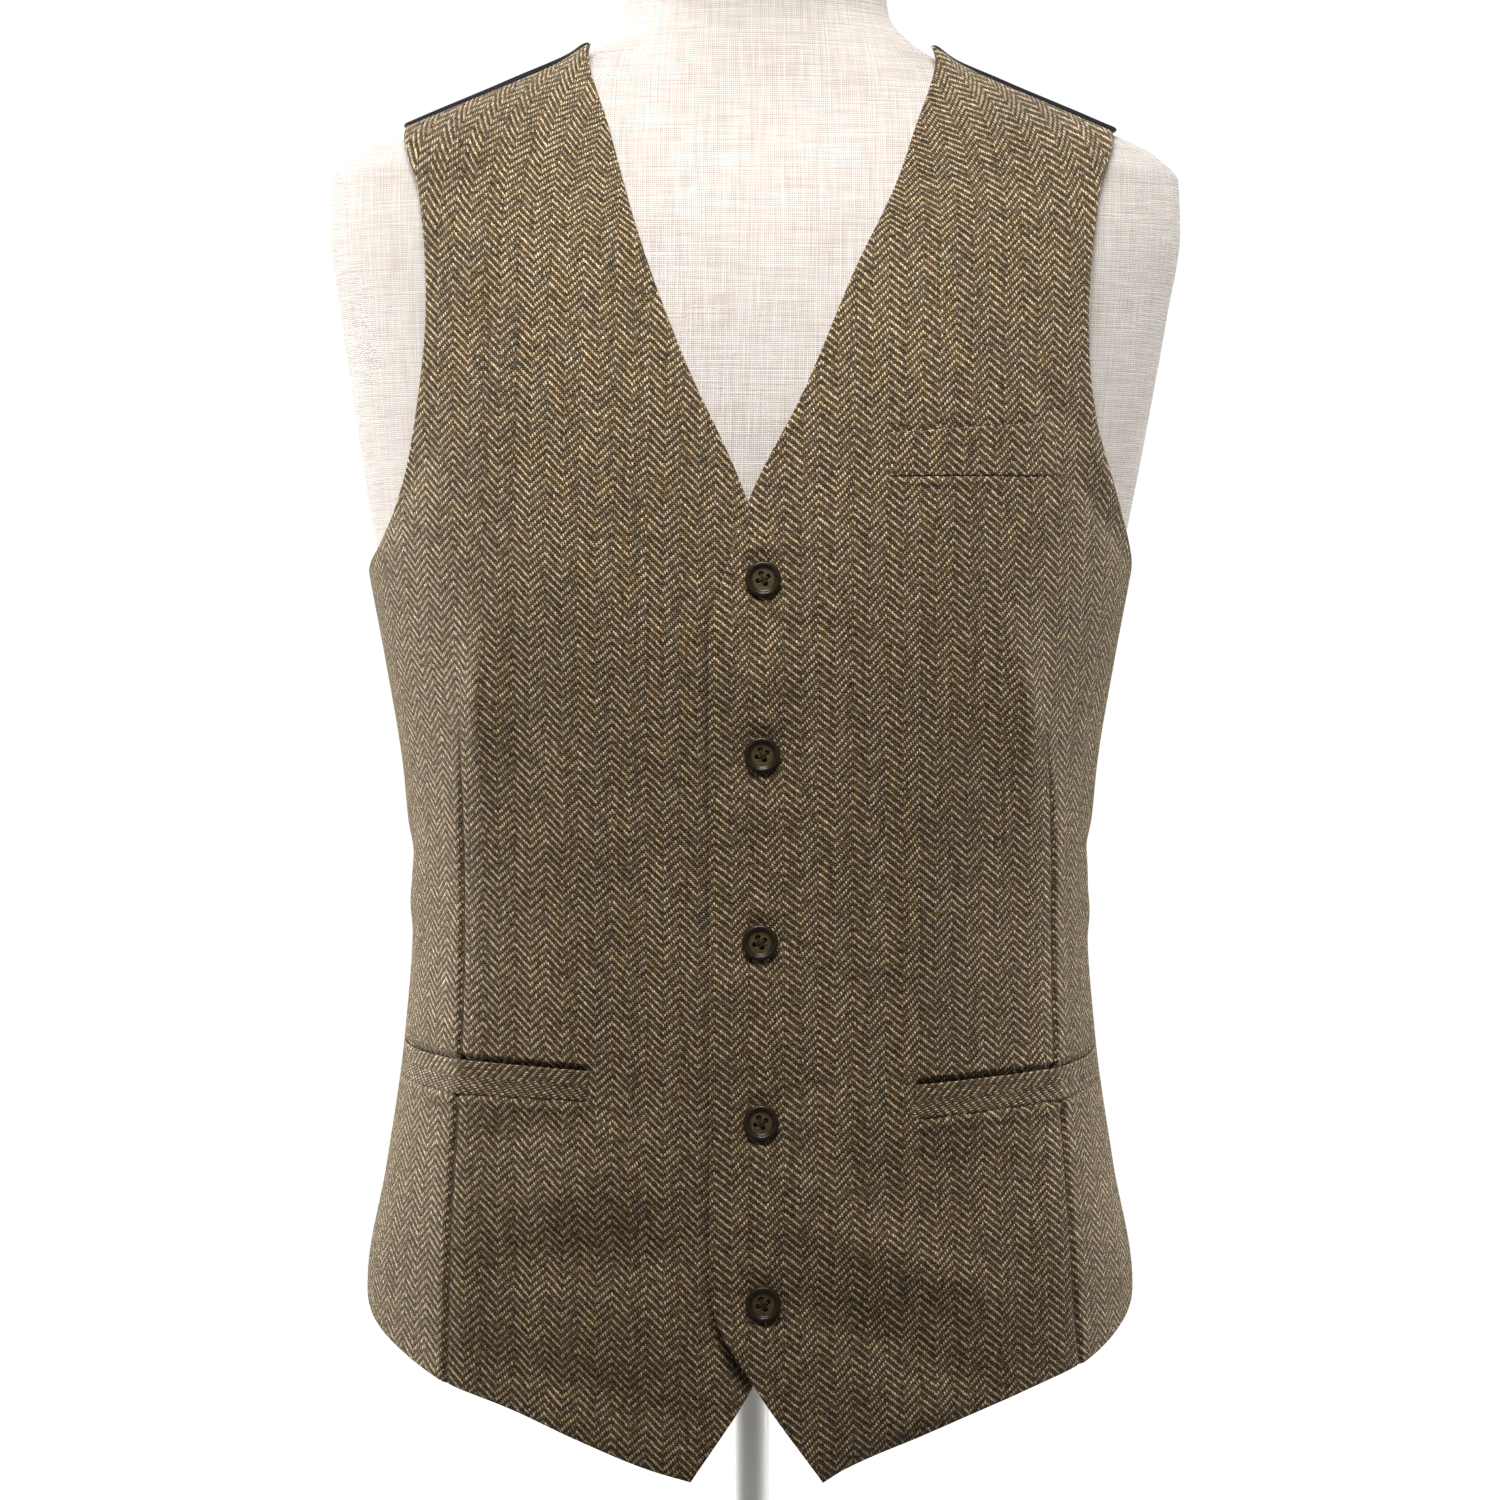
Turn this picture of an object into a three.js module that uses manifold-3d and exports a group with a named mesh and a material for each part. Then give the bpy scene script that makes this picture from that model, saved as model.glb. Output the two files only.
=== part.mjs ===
// A suit waistcoat of herringbone tweed with a satin back, buttoned on a limbless linen dress form.
// Millimetres, +Z up, the front faces -Y, the wearer's left is +X, and the origin is the middle of
// the underside of the form's base. Cloth is drafted as a tailor does, by girth from the centre
// front and height, and then wrapped round the figure.
import * as THREE from "three";
import { mergeVertices } from "three/addons/utils/BufferGeometryUtils.js";
import Module from "manifold-3d";

// Cloth sizes
const tweedThick = 2.2;
const satinThick = 1.4;
const seamGap = 0.3;
const lapStep = tweedThick + 2 * seamGap;
const lapFlat = 36; // girth from the centre over which the upper front stays lifted
const lapFade = 70; // girth where it lies on the figure again
const hemKick = 3; // how far the free hem points stand off
const hemKickHeight = 90;
const sideSeamShare = 0.535; // side seam, as a share of the half girth
const shoulderSeamGap = 0.5; // along the girth, which leaves about the seam gap across it

// Grid of each cloth panel
const columns = 14;
const sideRows = 12;
const armholeRows = 18;
const dartColumn = 8;
const backNeckRows = 7;
const hemRowsShare = 0.6; // share of the side rows over which the hem's curve fades out

// Heights where the panels' edges change
const hemPointHeight = 160;
const sideHemHeight = 250;
const underarmHeight = 575;
const breakHeight = 588; // height of the front edge on the row of the underarm
const backHemHeight = 246;
const backNeckHeight = 806;

// The general figure under the cloth: half width, depth to front and back, squareness and lean to +X
const figure = [
  { z: 150, wide: 178, front: 112, back: 114, square: 2.35, lean: 0 },
  { z: 245, wide: 178, front: 112, back: 116, square: 2.35, lean: 0 },
  { z: 300, wide: 169, front: 109, back: 110, square: 2.35, lean: 0 },
  { z: 360, wide: 160.5, front: 106, back: 98, square: 2.35, lean: 0 },
  { z: 418, wide: 156.5, front: 105, back: 91, square: 2.35, lean: 0 },
  { z: 480, wide: 160.3, front: 109, back: 96, square: 2.35, lean: 0 },
  { z: 540, wide: 169.7, front: 115, back: 107, square: 2.35, lean: 0 },
  { z: 585, wide: 178.5, front: 117, back: 114, square: 2.35, lean: 0 },
  { z: 640, wide: 188, front: 114, back: 118, square: 2.35, lean: 1 },
  { z: 700, wide: 198, front: 104, back: 115, square: 2.3, lean: 2 },
  { z: 742, wide: 204, front: 93, back: 103, square: 2.15, lean: 2.5 },
  { z: 766, wide: 203, front: 84, back: 92, square: 2, lean: 2.5 },
  { z: 780, wide: 190, front: 78, back: 84, square: 2, lean: 2.5 },
  { z: 793, wide: 162, front: 73, back: 78, square: 2, lean: 2.5 },
  { z: 812, wide: 117, front: 67, back: 72, square: 2, lean: 2.5 },
  { z: 829.5, wide: 79, front: 63, back: 68, square: 2, lean: 2.5 },
  { z: 845, wide: 65, front: 61, back: 64, square: 2, lean: 2.5 },
  { z: 905, wide: 61, front: 60, back: 60, square: 2, lean: 2.5 },
];

// Front edge of each front, from the hem point up the cutaway, closure and neck: girth past the centre
const frontEdge = {
  left: [
    { z: 160, girth: 33 },
    { z: 204, girth: 2 },
    { z: 236, girth: -16 },
    { z: 252, girth: -18.5 },
    { z: 400, girth: -18.5 },
    { z: 548, girth: -19 },
    { z: 576, girth: -12 },
    { z: 615, girth: 1 },
    { z: 661, girth: 23.5 },
    { z: 717, girth: 46 },
    { z: 760, girth: 66 },
    { z: 789, girth: 76 },
    { z: 823, girth: 91 },
  ],
  right: [
    { z: 160, girth: 27 },
    { z: 204, girth: -1.5 },
    { z: 236, girth: -16 },
    { z: 252, girth: -18.5 },
    { z: 400, girth: -18.5 },
    { z: 548, girth: -19 },
    { z: 576, girth: -11 },
    { z: 620, girth: 5.5 },
    { z: 675, girth: 31.5 },
    { z: 731, girth: 53 },
    { z: 760, girth: 61.5 },
    { z: 789, girth: 69.5 },
    { z: 824, girth: 83.5 },
  ],
};

// Armhole of each front, from the side seam round to the shoulder tip
const frontArmhole = {
  left: [
    { girth: 256, z: 575 },
    { girth: 236, z: 579 },
    { girth: 207, z: 595 },
    { girth: 181, z: 622 },
    { girth: 164, z: 663 },
    { girth: 160, z: 712 },
    { girth: 166, z: 760 },
    { girth: 178, z: 785.5 },
  ],
  right: [
    { girth: 256, z: 575 },
    { girth: 236, z: 578 },
    { girth: 197, z: 593 },
    { girth: 173, z: 622 },
    { girth: 161, z: 663 },
    { girth: 156.5, z: 708 },
    { girth: 161.5, z: 758 },
    { girth: 175, z: 788 },
  ],
};

// Hem of a front between its point and the side seam
const frontHem = {
  left: [
    { girth: 33, z: 160 },
    { girth: 43, z: 166 },
    { girth: 78, z: 180 },
    { girth: 111, z: 193 },
    { girth: 143, z: 205.5 },
    { girth: 174, z: 217.5 },
    { girth: 203, z: 230 },
    { girth: 230, z: 242 },
    { girth: 255, z: 250 },
  ],
  right: [
    { girth: 27, z: 160 },
    { girth: 46, z: 165.5 },
    { girth: 80, z: 179 },
    { girth: 111, z: 192.2 },
    { girth: 143, z: 203.5 },
    { girth: 174, z: 216.5 },
    { girth: 203, z: 229 },
    { girth: 230, z: 241 },
    { girth: 255, z: 250 },
  ],
};

// Armhole of each back half, up to the top of the shoulder: distance from the centre back, and height
const backArmhole = {
  left: [
    { across: 205, z: 588 },
    { across: 190, z: 615 },
    { across: 180, z: 660 },
    { across: 177, z: 715 },
    { across: 175, z: 757 },
    { across: 177, z: 779 },
    { across: 185, z: 788 },
    { across: 201, z: 790 },
  ],
  right: [
    { across: 205, z: 588 },
    { across: 190, z: 615 },
    { across: 178, z: 660 },
    { across: 173, z: 715 },
    { across: 171, z: 757 },
    { across: 172, z: 780 },
    { across: 181, z: 790 },
    { across: 196, z: 792 },
  ],
};

// Dart of each front, from the hem to its upper end, where it runs out
const dart = {
  left: [
    { z: 200, girth: 158 },
    { z: 241, girth: 154.5 },
    { z: 330, girth: 150 },
    { z: 348, girth: 147 },
    { z: 430, girth: 147.5 },
    { z: 524, girth: 138 },
    { z: 640, girth: 118 },
  ],
  right: [
    { z: 200, girth: 142 },
    { z: 241, girth: 142 },
    { z: 330, girth: 139 },
    { z: 352, girth: 137.5 },
    { z: 430, girth: 137 },
    { z: 524, girth: 137 },
    { z: 640, girth: 122 },
  ],
};
const dartReach = 6; // half width of the sunk seam
const dartDepth = 0.9;
const dartFull = 470; // height up to which the dart is at its full depth
const dartTop = 545; // height where it has run out
const dartColumnsFade = 90;
const ridgeHeight = 4.5; // the front bends along its dart, and stands highest there
const ridgeInside = 40;
const ridgeOutside = 45;
const ridgeFull = 480;
const ridgeTop = 570;
const dartAcross = 0.6; // about where a dart lies between a front's edges

// Pocket welts, drawn on their panel by corner, lower edge first, from the centre outwards
const weltThick = 1.5;
const weltGap = 0.7;
const weltMouth = 0.8; // extra stand-off along the open upper edge of a pocket welt
const weltStep = 8;
const welts = [
  {
    name: "chest_welt",
    side: "left",
    lower: [{ girth: 64, z: 621.5 }, { girth: 146.5, z: 623 }],
    upper: [{ girth: 62, z: 641.5 }, { girth: 142.5, z: 647.5 }],
    mouth: 0.4,
  },
  {
    name: "pocket_welt_left",
    side: "left",
    lower: [{ girth: 75, z: 325.5 }, { girth: 147, z: 332.5 }, { girth: 196, z: 341.5 }],
    upper: [{ girth: 76.5, z: 341.5 }, { girth: 146, z: 347.5 }, { girth: 194, z: 355 }],
    mouth: weltMouth,
  },
  {
    name: "pocket_welt_right",
    side: "right",
    lower: [{ girth: 74.5, z: 334 }, { girth: 142.5, z: 336 }, { girth: 200, z: 344 }],
    upper: [{ girth: 74.5, z: 348 }, { girth: 144.5, z: 352.5 }, { girth: 202, z: 359 }],
    mouth: weltMouth,
  },
];

// Buttons, from the top one down, on the wearer's left of the centre line
const buttonRadius = 8.3;
const buttonThick = 3.3;
const buttonGap = 0.6;
const buttonTurn = -0.37;
const holeRadius = 0.95;
const holeSpacing = 3.3;
const buttonPlaces = [
  { girth: 6, z: 574.5 },
  { girth: 5.5, z: 494.5 },
  { girth: 4.5, z: 407.5 },
  { girth: 5, z: 324.5 },
  { girth: 6, z: 242 },
];

// Dress form: how far it lies inside the cloth, and its stand
const formEase = [
  { z: 236, ease: 9 },
  { z: 330, ease: 6 },
  { z: 420, ease: 4.5 },
  { z: 540, ease: 3.5 },
  { z: 640, ease: 2.6 },
  { z: 720, ease: 2.6 },
  { z: 790, ease: 2.4 },
  { z: 830, ease: 2 },
  { z: 900, ease: 2 },
];
const formBottom = 240;
const formTop = 900;
const formCorner = 12;
const formRings = 32;
const formSegments = 36;
const postRadius = 9;
const postSocketDepth = 70;
const socketGap = 0.3;
const postSides = 24;
const baseRadius = 150;
const baseThick = 8;
const bossRadius = 22;
const bossHeight = 26;
const postSeat = 10;

// Smooth reading of a table's column at a value of its key column, without overshoot
function reading(table, column, at, key = "z") {
  const last = table.length - 1;
  if (at <= table[0][key]) return table[0][column];
  if (at >= table[last][key]) return table[last][column];
  let i = 0;
  while (at > table[i + 1][key]) i += 1;
  const run = (k) => table[k + 1][key] - table[k][key];
  const slope = (k) => (table[k + 1][column] - table[k][column]) / run(k);
  const tangent = (k) => {
    if (k === 0) return slope(0);
    if (k === last) return slope(last - 1);
    const before = slope(k - 1);
    const after = slope(k);
    return before * after <= 0 ? 0 : (2 * before * after) / (before + after);
  };
  const t = (at - table[i][key]) / run(i);
  const from = table[i][column];
  const to = table[i + 1][column];
  const leave = tangent(i) * run(i);
  const arrive = tangent(i + 1) * run(i);
  const curve = t * (2 * (from - to) + leave + arrive) + 3 * (to - from) - 2 * leave - arrive;
  return from + t * (leave + t * curve);
}

const mix = (from, to, share) => from + (to - from) * share;

function smoothStep(from, to, at) {
  const t = THREE.MathUtils.clamp((at - from) / (to - from), 0, 1);
  return t * t * (3 - 2 * t);
}

// One horizontal half section of the figure, from the centre front to the centre back
const sectionSteps = 200;
const sectionsSoFar = new Map();
function sectionAt(z) {
  if (sectionsSoFar.has(z)) return sectionsSoFar.get(z);
  const [wide, front, back, square, lean] = ["wide", "front", "back", "square", "lean"].map(
    (column) => reading(figure, column, z),
  );
  const points = [];
  let girth = 0;
  for (let i = 0; i <= sectionSteps; i += 1) {
    const turn = (Math.PI * i) / sectionSteps;
    const across = Math.abs(Math.sin(turn)) ** (2 / square);
    const along = Math.abs(Math.cos(turn)) ** (2 / square);
    const point = new THREE.Vector2(wide * across, turn < Math.PI / 2 ? -front * along : back * along);
    if (i > 0) girth += point.distanceTo(points[i - 1].point);
    points.push({ point, girth });
  }
  const section = { points, lean, half: girth };
  sectionsSoFar.set(z, section);
  return section;
}

const halfGirth = (z) => sectionAt(z).half;

// Point of the figure at a signed girth from the centre front
function onFigure(girth, z) {
  const { points, lean, half } = sectionAt(z);
  const side = girth < 0 ? -1 : 1;
  const want = Math.min(Math.abs(girth), 2 * half - Math.abs(girth));
  const mirror = Math.abs(girth) > half ? -side : side;
  let low = 0;
  let high = sectionSteps;
  while (high - low > 1) {
    const middle = (low + high) >> 1;
    if (points[middle].girth > want) high = middle;
    else low = middle;
  }
  const share = (want - points[low].girth) / (points[high].girth - points[low].girth);
  const flat = points[low].point.clone().lerp(points[high].point, share);
  return new THREE.Vector3(lean + mirror * flat.x, flat.y, z);
}

// Outward direction of the figure there
function outward(girth, z) {
  const reach = 2;
  const along = onFigure(girth + reach, z).sub(onFigure(girth - reach, z));
  const up = onFigure(girth, z + reach).sub(onFigure(girth, z - reach));
  return along.cross(up).normalize();
}

function offFigure(girth, z, distance) {
  return onFigure(girth, z).addScaledVector(outward(girth, z), distance);
}

// Closed wall between an inner and an outer grid of points, given row by row
function wallGeometry(inner, outer) {
  const rows = inner.length;
  const across = inner[0].length;
  const points = [...inner.flat(), ...outer.flat()];
  const index = [];
  const at = (layer, row, column) => layer * rows * across + row * across + column;
  const quad = (a, b, c, d) => index.push(a, b, c, a, c, d);
  for (let r = 0; r < rows - 1; r += 1) {
    for (let c = 0; c < across - 1; c += 1) {
      quad(at(1, r, c), at(1, r, c + 1), at(1, r + 1, c + 1), at(1, r + 1, c));
      quad(at(0, r, c), at(0, r + 1, c), at(0, r + 1, c + 1), at(0, r, c + 1));
    }
    const end = across - 1;
    quad(at(0, r, 0), at(1, r, 0), at(1, r + 1, 0), at(0, r + 1, 0));
    quad(at(1, r, end), at(0, r, end), at(0, r + 1, end), at(1, r + 1, end));
  }
  for (let c = 0; c < across - 1; c += 1) {
    const top = rows - 1;
    quad(at(0, 0, c), at(0, 0, c + 1), at(1, 0, c + 1), at(1, 0, c));
    quad(at(1, top, c), at(1, top, c + 1), at(0, top, c + 1), at(0, top, c));
  }
  const geometry = new THREE.BufferGeometry().setFromPoints(points);
  geometry.setIndex(index);
  return geometry;
}

// Wall over a drafted grid of { girth, z, lift }; grids drafted for the wearer's right are mirrored
function clothGeometry(draft, side, thick) {
  const sign = side === "left" ? 1 : -1;
  const ordered = side === "left" ? draft : draft.map((row) => [...row].reverse());
  const layer = (more) =>
    ordered.map((row) => row.map(({ girth, z, lift }) => offFigure(sign * girth, z, lift + more)));
  return wallGeometry(layer(0), layer(thick));
}

// Side seam and armhole: rows share their heights along the seam, so that both panels meet there
function outerEdge(row, armhole, seamShift) {
  if (row <= sideRows) {
    const z = mix(sideHemHeight, underarmHeight, row / sideRows);
    return { girth: sideSeamShare * halfGirth(z) + seamShift, z };
  }
  const curve = new THREE.SplineCurve(armhole.map(({ girth, z }) => new THREE.Vector2(girth, z)));
  const point = curve.getPoint((row - sideRows) / armholeRows);
  return { girth: point.x, z: point.y };
}

function frontDraft(side) {
  const edge = frontEdge[side];
  const seamTop = edge[edge.length - 1].z;
  const rows = [];
  for (let r = 0; r <= sideRows + armholeRows; r += 1) {
    const innerZ =
      r <= sideRows
        ? mix(hemPointHeight, breakHeight, r / sideRows)
        : mix(breakHeight, seamTop, (r - sideRows) / armholeRows);
    const inner = { girth: reading(edge, "girth", innerZ), z: innerZ };
    rows.push(frontRow(side, inner, outerEdge(r, frontArmhole[side], -seamGap / 2), r));
  }
  return rows;
}

// Points of one row of a front: three columns follow the dart, and the lowest row follows the hem
function frontRow(side, inner, outer, row) {
  const dartZ = mix(inner.z, outer.z, dartAcross);
  const dartShare = (reading(dart[side], "girth", dartZ) - inner.girth) / (outer.girth - inner.girth);
  const reachShare = dartReach / (outer.girth - inner.girth);
  const follow = 1 - smoothStep(dartTop, dartTop + dartColumnsFade, dartZ);
  const hemPull = Math.max(0, 1 - row / (sideRows * hemRowsShare)) ** 2;
  const hem = frontHem[side];
  const points = [];
  for (let c = 0; c <= columns; c += 1) {
    const even = c / columns;
    const share = mix(even, columnShare(c, dartShare, reachShare), follow);
    const girth = mix(inner.girth, outer.girth, share);
    const straight = mix(hemPointHeight, sideHemHeight, share);
    const hemAt = mix(hem[0].girth, hem[hem.length - 1].girth, share);
    const sag = reading(hem, "z", hemAt, "girth") - straight;
    const z = mix(inner.z, outer.z, share) + sag * hemPull;
    points.push({ girth, z, lift: frontLift(side, girth, z) });
  }
  return points;
}

function columnShare(column, dartShare, reachShare) {
  const before = dartColumn - 1;
  const after = dartColumn + 1;
  if (column < before) return ((dartShare - reachShare) * column) / before;
  if (column > after) {
    return mix(dartShare + reachShare, 1, (column - after) / (columns - after));
  }
  return dartShare + (column - dartColumn) * reachShare;
}

// How far a front's inner face stands off the figure
function frontLift(side, girth, z) {
  const lap = side === "left" ? lapStep * (1 - smoothStep(lapFlat, lapFade, girth)) : 0;
  const low = 1 - smoothStep(hemPointHeight, hemPointHeight + hemKickHeight, z);
  const fromDart = Math.abs(girth - reading(dart[side], "girth", z));
  const valley = Math.max(0, 1 - fromDart / dartReach) * (1 - smoothStep(dartFull, dartTop, z));
  return lap + hemKick * low + dartDepth * (1 - valley) * valleyRoom(z) + ridge(side, girth, z);
}

function ridge(side, girth, z) {
  const off = girth - reading(dart[side], "girth", z);
  const reach = off < 0 ? ridgeInside : ridgeOutside;
  const near = Math.max(0, 1 - Math.abs(off) / reach);
  return ridgeHeight * near ** 2 * (1 - smoothStep(ridgeFull, ridgeTop, z));
}

// Below the dart's end the whole front stands off by the dart's depth, so that its seam can sink
const valleyRoom = (z) => 1 - smoothStep(dartTop, underarmHeight + 60, z);

function backDraft(side) {
  const tip = frontArmhole[side][frontArmhole[side].length - 1];
  const neck = frontEdge[side][frontEdge[side].length - 1];
  const armhole = [
    { girth: sideSeamShare * halfGirth(underarmHeight) + seamGap / 2, z: underarmHeight },
    ...backArmhole[side].map(({ across, z }) => ({ girth: halfGirth(z) - across, z })),
    { girth: tip.girth + shoulderSeamGap, z: tip.z },
  ];
  const rows = [];
  for (let r = 0; r <= sideRows + armholeRows; r += 1) {
    const inner = backInner(r, neck);
    const outer = outerEdge(r, armhole, seamGap / 2);
    const row = [];
    for (let c = 0; c <= columns; c += 1) {
      const z = mix(inner.z, outer.z, c / columns);
      const girth = mix(inner.girth, outer.girth, c / columns);
      row.push({ girth, z, lift: dartDepth * valleyRoom(z) });
    }
    rows.push(row);
  }
  return rows;
}

// Centre back seam up to the nape, then round the back of the neck to the shoulder seam
function backInner(row, neck) {
  const neckRow = sideRows + armholeRows - backNeckRows;
  if (row <= neckRow) {
    const z = mix(backHemHeight, backNeckHeight, row / neckRow);
    return { girth: halfGirth(z) - seamGap / 2, z };
  }
  const share = (row - neckRow) / backNeckRows;
  const z = mix(backNeckHeight, neck.z, Math.sin((share * Math.PI) / 2) ** 1.5);
  const start = halfGirth(backNeckHeight) - seamGap / 2;
  return { girth: mix(start, neck.girth + shoulderSeamGap, share), z };
}

// A welt is a second layer on its front, drafted over the same girths and heights
function weltDraft({ side, lower, upper, mouth }) {
  const rows = 3;
  const width = lower[lower.length - 1].girth - lower[0].girth;
  const steps = Math.round(width / weltStep);
  const draft = [];
  for (let r = 0; r <= rows; r += 1) {
    const up = r / rows;
    const row = [];
    for (let c = 0; c <= steps; c += 1) {
      const low = alongPolyline(lower, c / steps);
      const high = alongPolyline(upper, c / steps);
      const girth = mix(low.girth, high.girth, up);
      const z = mix(low.z, high.z, up);
      const plain = frontLift(side, girth, z) + tweedThick;
      row.push({ girth, z, lift: plain + weltGap + mouth * up });
    }
    draft.push(row);
  }
  return draft;
}

function alongPolyline(corners, share) {
  const at = share * (corners.length - 1);
  const i = Math.min(Math.floor(at), corners.length - 2);
  return {
    girth: mix(corners[i].girth, corners[i + 1].girth, at - i),
    z: mix(corners[i].z, corners[i + 1].z, at - i),
  };
}

const wasm = await Module();
wasm.setup();

function toSolid(geometry) {
  const bare = geometry.clone();
  bare.deleteAttribute("normal");
  bare.deleteAttribute("uv");
  const merged = mergeVertices(bare, 1e-4);
  return new wasm.Manifold(
    new wasm.Mesh({
      numProp: 3,
      vertProperties: merged.attributes.position.array,
      triVerts: new Uint32Array(merged.index.array),
    }),
  );
}

function toGeometry(solid) {
  const { vertProperties, triVerts } = solid.getMesh();
  const geometry = new THREE.BufferGeometry();
  geometry.setAttribute("position", new THREE.BufferAttribute(vertProperties, 3));
  geometry.setIndex(new THREE.BufferAttribute(triVerts, 1));
  geometry.computeVertexNormals();
  return geometry;
}

function latheAboutZ(profile, segments) {
  const geometry = new THREE.LatheGeometry(
    profile.map(([radius, height]) => new THREE.Vector2(radius, height)),
    segments,
  );
  return geometry.rotateX(Math.PI / 2);
}

function cylinderAboutZ(radius, from, to, sides) {
  return new THREE.CylinderGeometry(radius, radius, to - from, sides)
    .rotateX(Math.PI / 2)
    .translate(0, 0, (from + to) / 2);
}

// Button with a raised rim, a dished middle and four sewing holes
function buttonGeometry() {
  const rim = buttonThick;
  const dish = buttonThick * 0.6;
  const profile = [
    [0, 0],
    [buttonRadius * 0.66, 0],
    [buttonRadius * 0.95, 0.9],
    [buttonRadius, 1.8],
    [buttonRadius * 0.96, rim - 0.35],
    [buttonRadius * 0.87, rim],
    [buttonRadius * 0.75, rim - 0.3],
    [buttonRadius * 0.64, dish],
    [0, dish],
  ];
  let solid = toSolid(latheAboutZ(profile, 20));
  for (const across of [-1, 1]) {
    for (const along of [-1, 1]) {
      const hole = cylinderAboutZ(holeRadius, -1, buttonThick + 1, 8);
      hole.translate((across * holeSpacing) / 2, (along * holeSpacing) / 2, 0);
      solid = solid.subtract(toSolid(hole));
    }
  }
  return toGeometry(solid);
}

// The form follows the figure inside the cloth, closed at the neck and below, with a socket for its post
function formGeometry() {
  const rings = [];
  for (let i = 0; i <= formRings; i += 1) {
    rings.push(formRing(formHeight(i / formRings)));
  }
  const points = [new THREE.Vector3(0, 0, formBottom), ...rings.flat(), new THREE.Vector3(2.5, 0, formTop)];
  const index = [];
  const at = (ring, segment) => 1 + ring * formSegments + (segment % formSegments);
  for (let s = 0; s < formSegments; s += 1) {
    index.push(0, at(0, s + 1), at(0, s));
    for (let r = 0; r < formRings; r += 1) {
      index.push(at(r, s), at(r, s + 1), at(r + 1, s + 1), at(r, s), at(r + 1, s + 1), at(r + 1, s));
    }
    index.push(points.length - 1, at(formRings, s), at(formRings, s + 1));
  }
  const body = new THREE.BufferGeometry().setFromPoints(points);
  body.setIndex(index);
  const socket = cylinderAboutZ(
    postRadius + socketGap,
    formBottom - 1,
    formBottom + postSocketDepth + socketGap,
    postSides,
  );
  return toGeometry(toSolid(body).subtract(toSolid(socket)));
}

// Rings lie closer together where the corners round off and over the shoulders
const formHeights = [
  { share: 0, z: formBottom },
  { share: 0.06, z: formBottom + formCorner * 0.35 },
  { share: 0.12, z: formBottom + formCorner * 1.3 },
  { share: 0.45, z: 610 },
  { share: 0.6, z: 745 },
  { share: 0.86, z: 835 },
  { share: 0.94, z: formTop - formCorner * 0.6 },
  { share: 1, z: formTop },
];
const formHeight = (share) => reading(formHeights, "z", share, "share");

function formRing(z) {
  const fromEnd = Math.min(z - formBottom, formTop - z);
  const corner = Math.max(0, formCorner - fromEnd) / formCorner;
  const inset = reading(formEase, "ease", z) + formCorner * (1 - Math.sqrt(1 - corner * corner));
  const ring = [];
  for (let s = 0; s < formSegments; s += 1) {
    const girth = mix(-1, 1, s / formSegments) * halfGirth(z);
    ring.push(corner > 0 ? insetLevel(girth, z, inset) : offFigure(girth, z, -inset));
  }
  return ring;
}

// Level inset, for the rounded rings at the ends
function insetLevel(girth, z, inset) {
  const direction = outward(girth, z).setZ(0).normalize();
  return onFigure(girth, z).addScaledVector(direction, -inset);
}

const postTop = formBottom + postSocketDepth;

function baseGeometry() {
  const plate = latheAboutZ(
    [
      [0, 0],
      [baseRadius, 0],
      [baseRadius, baseThick - 2],
      [baseRadius - 2, baseThick],
      [bossRadius + 3, baseThick],
      [bossRadius, baseThick + 3],
      [bossRadius, bossHeight - 2],
      [bossRadius - 2, bossHeight],
      [0, bossHeight],
    ],
    48,
  );
  const seat = cylinderAboutZ(postRadius + socketGap, postSeat - socketGap, bossHeight + 1, postSides);
  return toGeometry(toSolid(plate).subtract(toSolid(seat)));
}

// Materials
const tweed = () => new THREE.MeshStandardMaterial({ color: 0x6f5f49, roughness: 0.95 });
const satin = () => new THREE.MeshStandardMaterial({ color: 0x15151c, roughness: 0.4 });
const linen = () => new THREE.MeshStandardMaterial({ color: 0xe6ded6, roughness: 0.9 });
const horn = () => new THREE.MeshStandardMaterial({ color: 0x35291c, roughness: 0.3 });
const enamel = () => new THREE.MeshStandardMaterial({ color: 0xf2f2f0, roughness: 0.4, metalness: 0.1 });

function named(name, geometry, material) {
  if (!geometry.getAttribute("normal")) geometry.computeVertexNormals();
  const mesh = new THREE.Mesh(geometry, material);
  mesh.name = name;
  return mesh;
}

const waistcoat = new THREE.Group();
for (const side of ["left", "right"]) {
  waistcoat.add(named(`front_${side}`, clothGeometry(frontDraft(side), side, tweedThick), tweed()));
  // A back half runs from the centre back forwards, so its wall is wound for the other side
  const draft = backDraft(side).map((row) => [...row].reverse());
  waistcoat.add(named(`back_${side}`, clothGeometry(draft, side, satinThick), satin()));
}
for (const welt of welts) {
  waistcoat.add(named(welt.name, clothGeometry(weltDraft(welt), welt.side, weltThick), tweed()));
}
buttonPlaces.forEach(({ girth, z }, i) => {
  const button = named(`button_${i + 1}`, buttonGeometry(), horn());
  const facing = outward(girth, z);
  button.position.copy(offFigure(girth, z, frontLift("left", girth, z) + tweedThick + buttonGap));
  button.quaternion.setFromUnitVectors(new THREE.Vector3(0, 0, 1), facing);
  button.rotateZ(buttonTurn);
  waistcoat.add(button);
});

const stand = new THREE.Group();
stand.add(named("form_torso", formGeometry(), linen()));
stand.add(named("form_post", cylinderAboutZ(postRadius, postSeat, postTop, postSides), enamel()));
stand.add(named("form_base", baseGeometry(), enamel()));

const part = new THREE.Group();
part.add(waistcoat, stand);

export default part;
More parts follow.
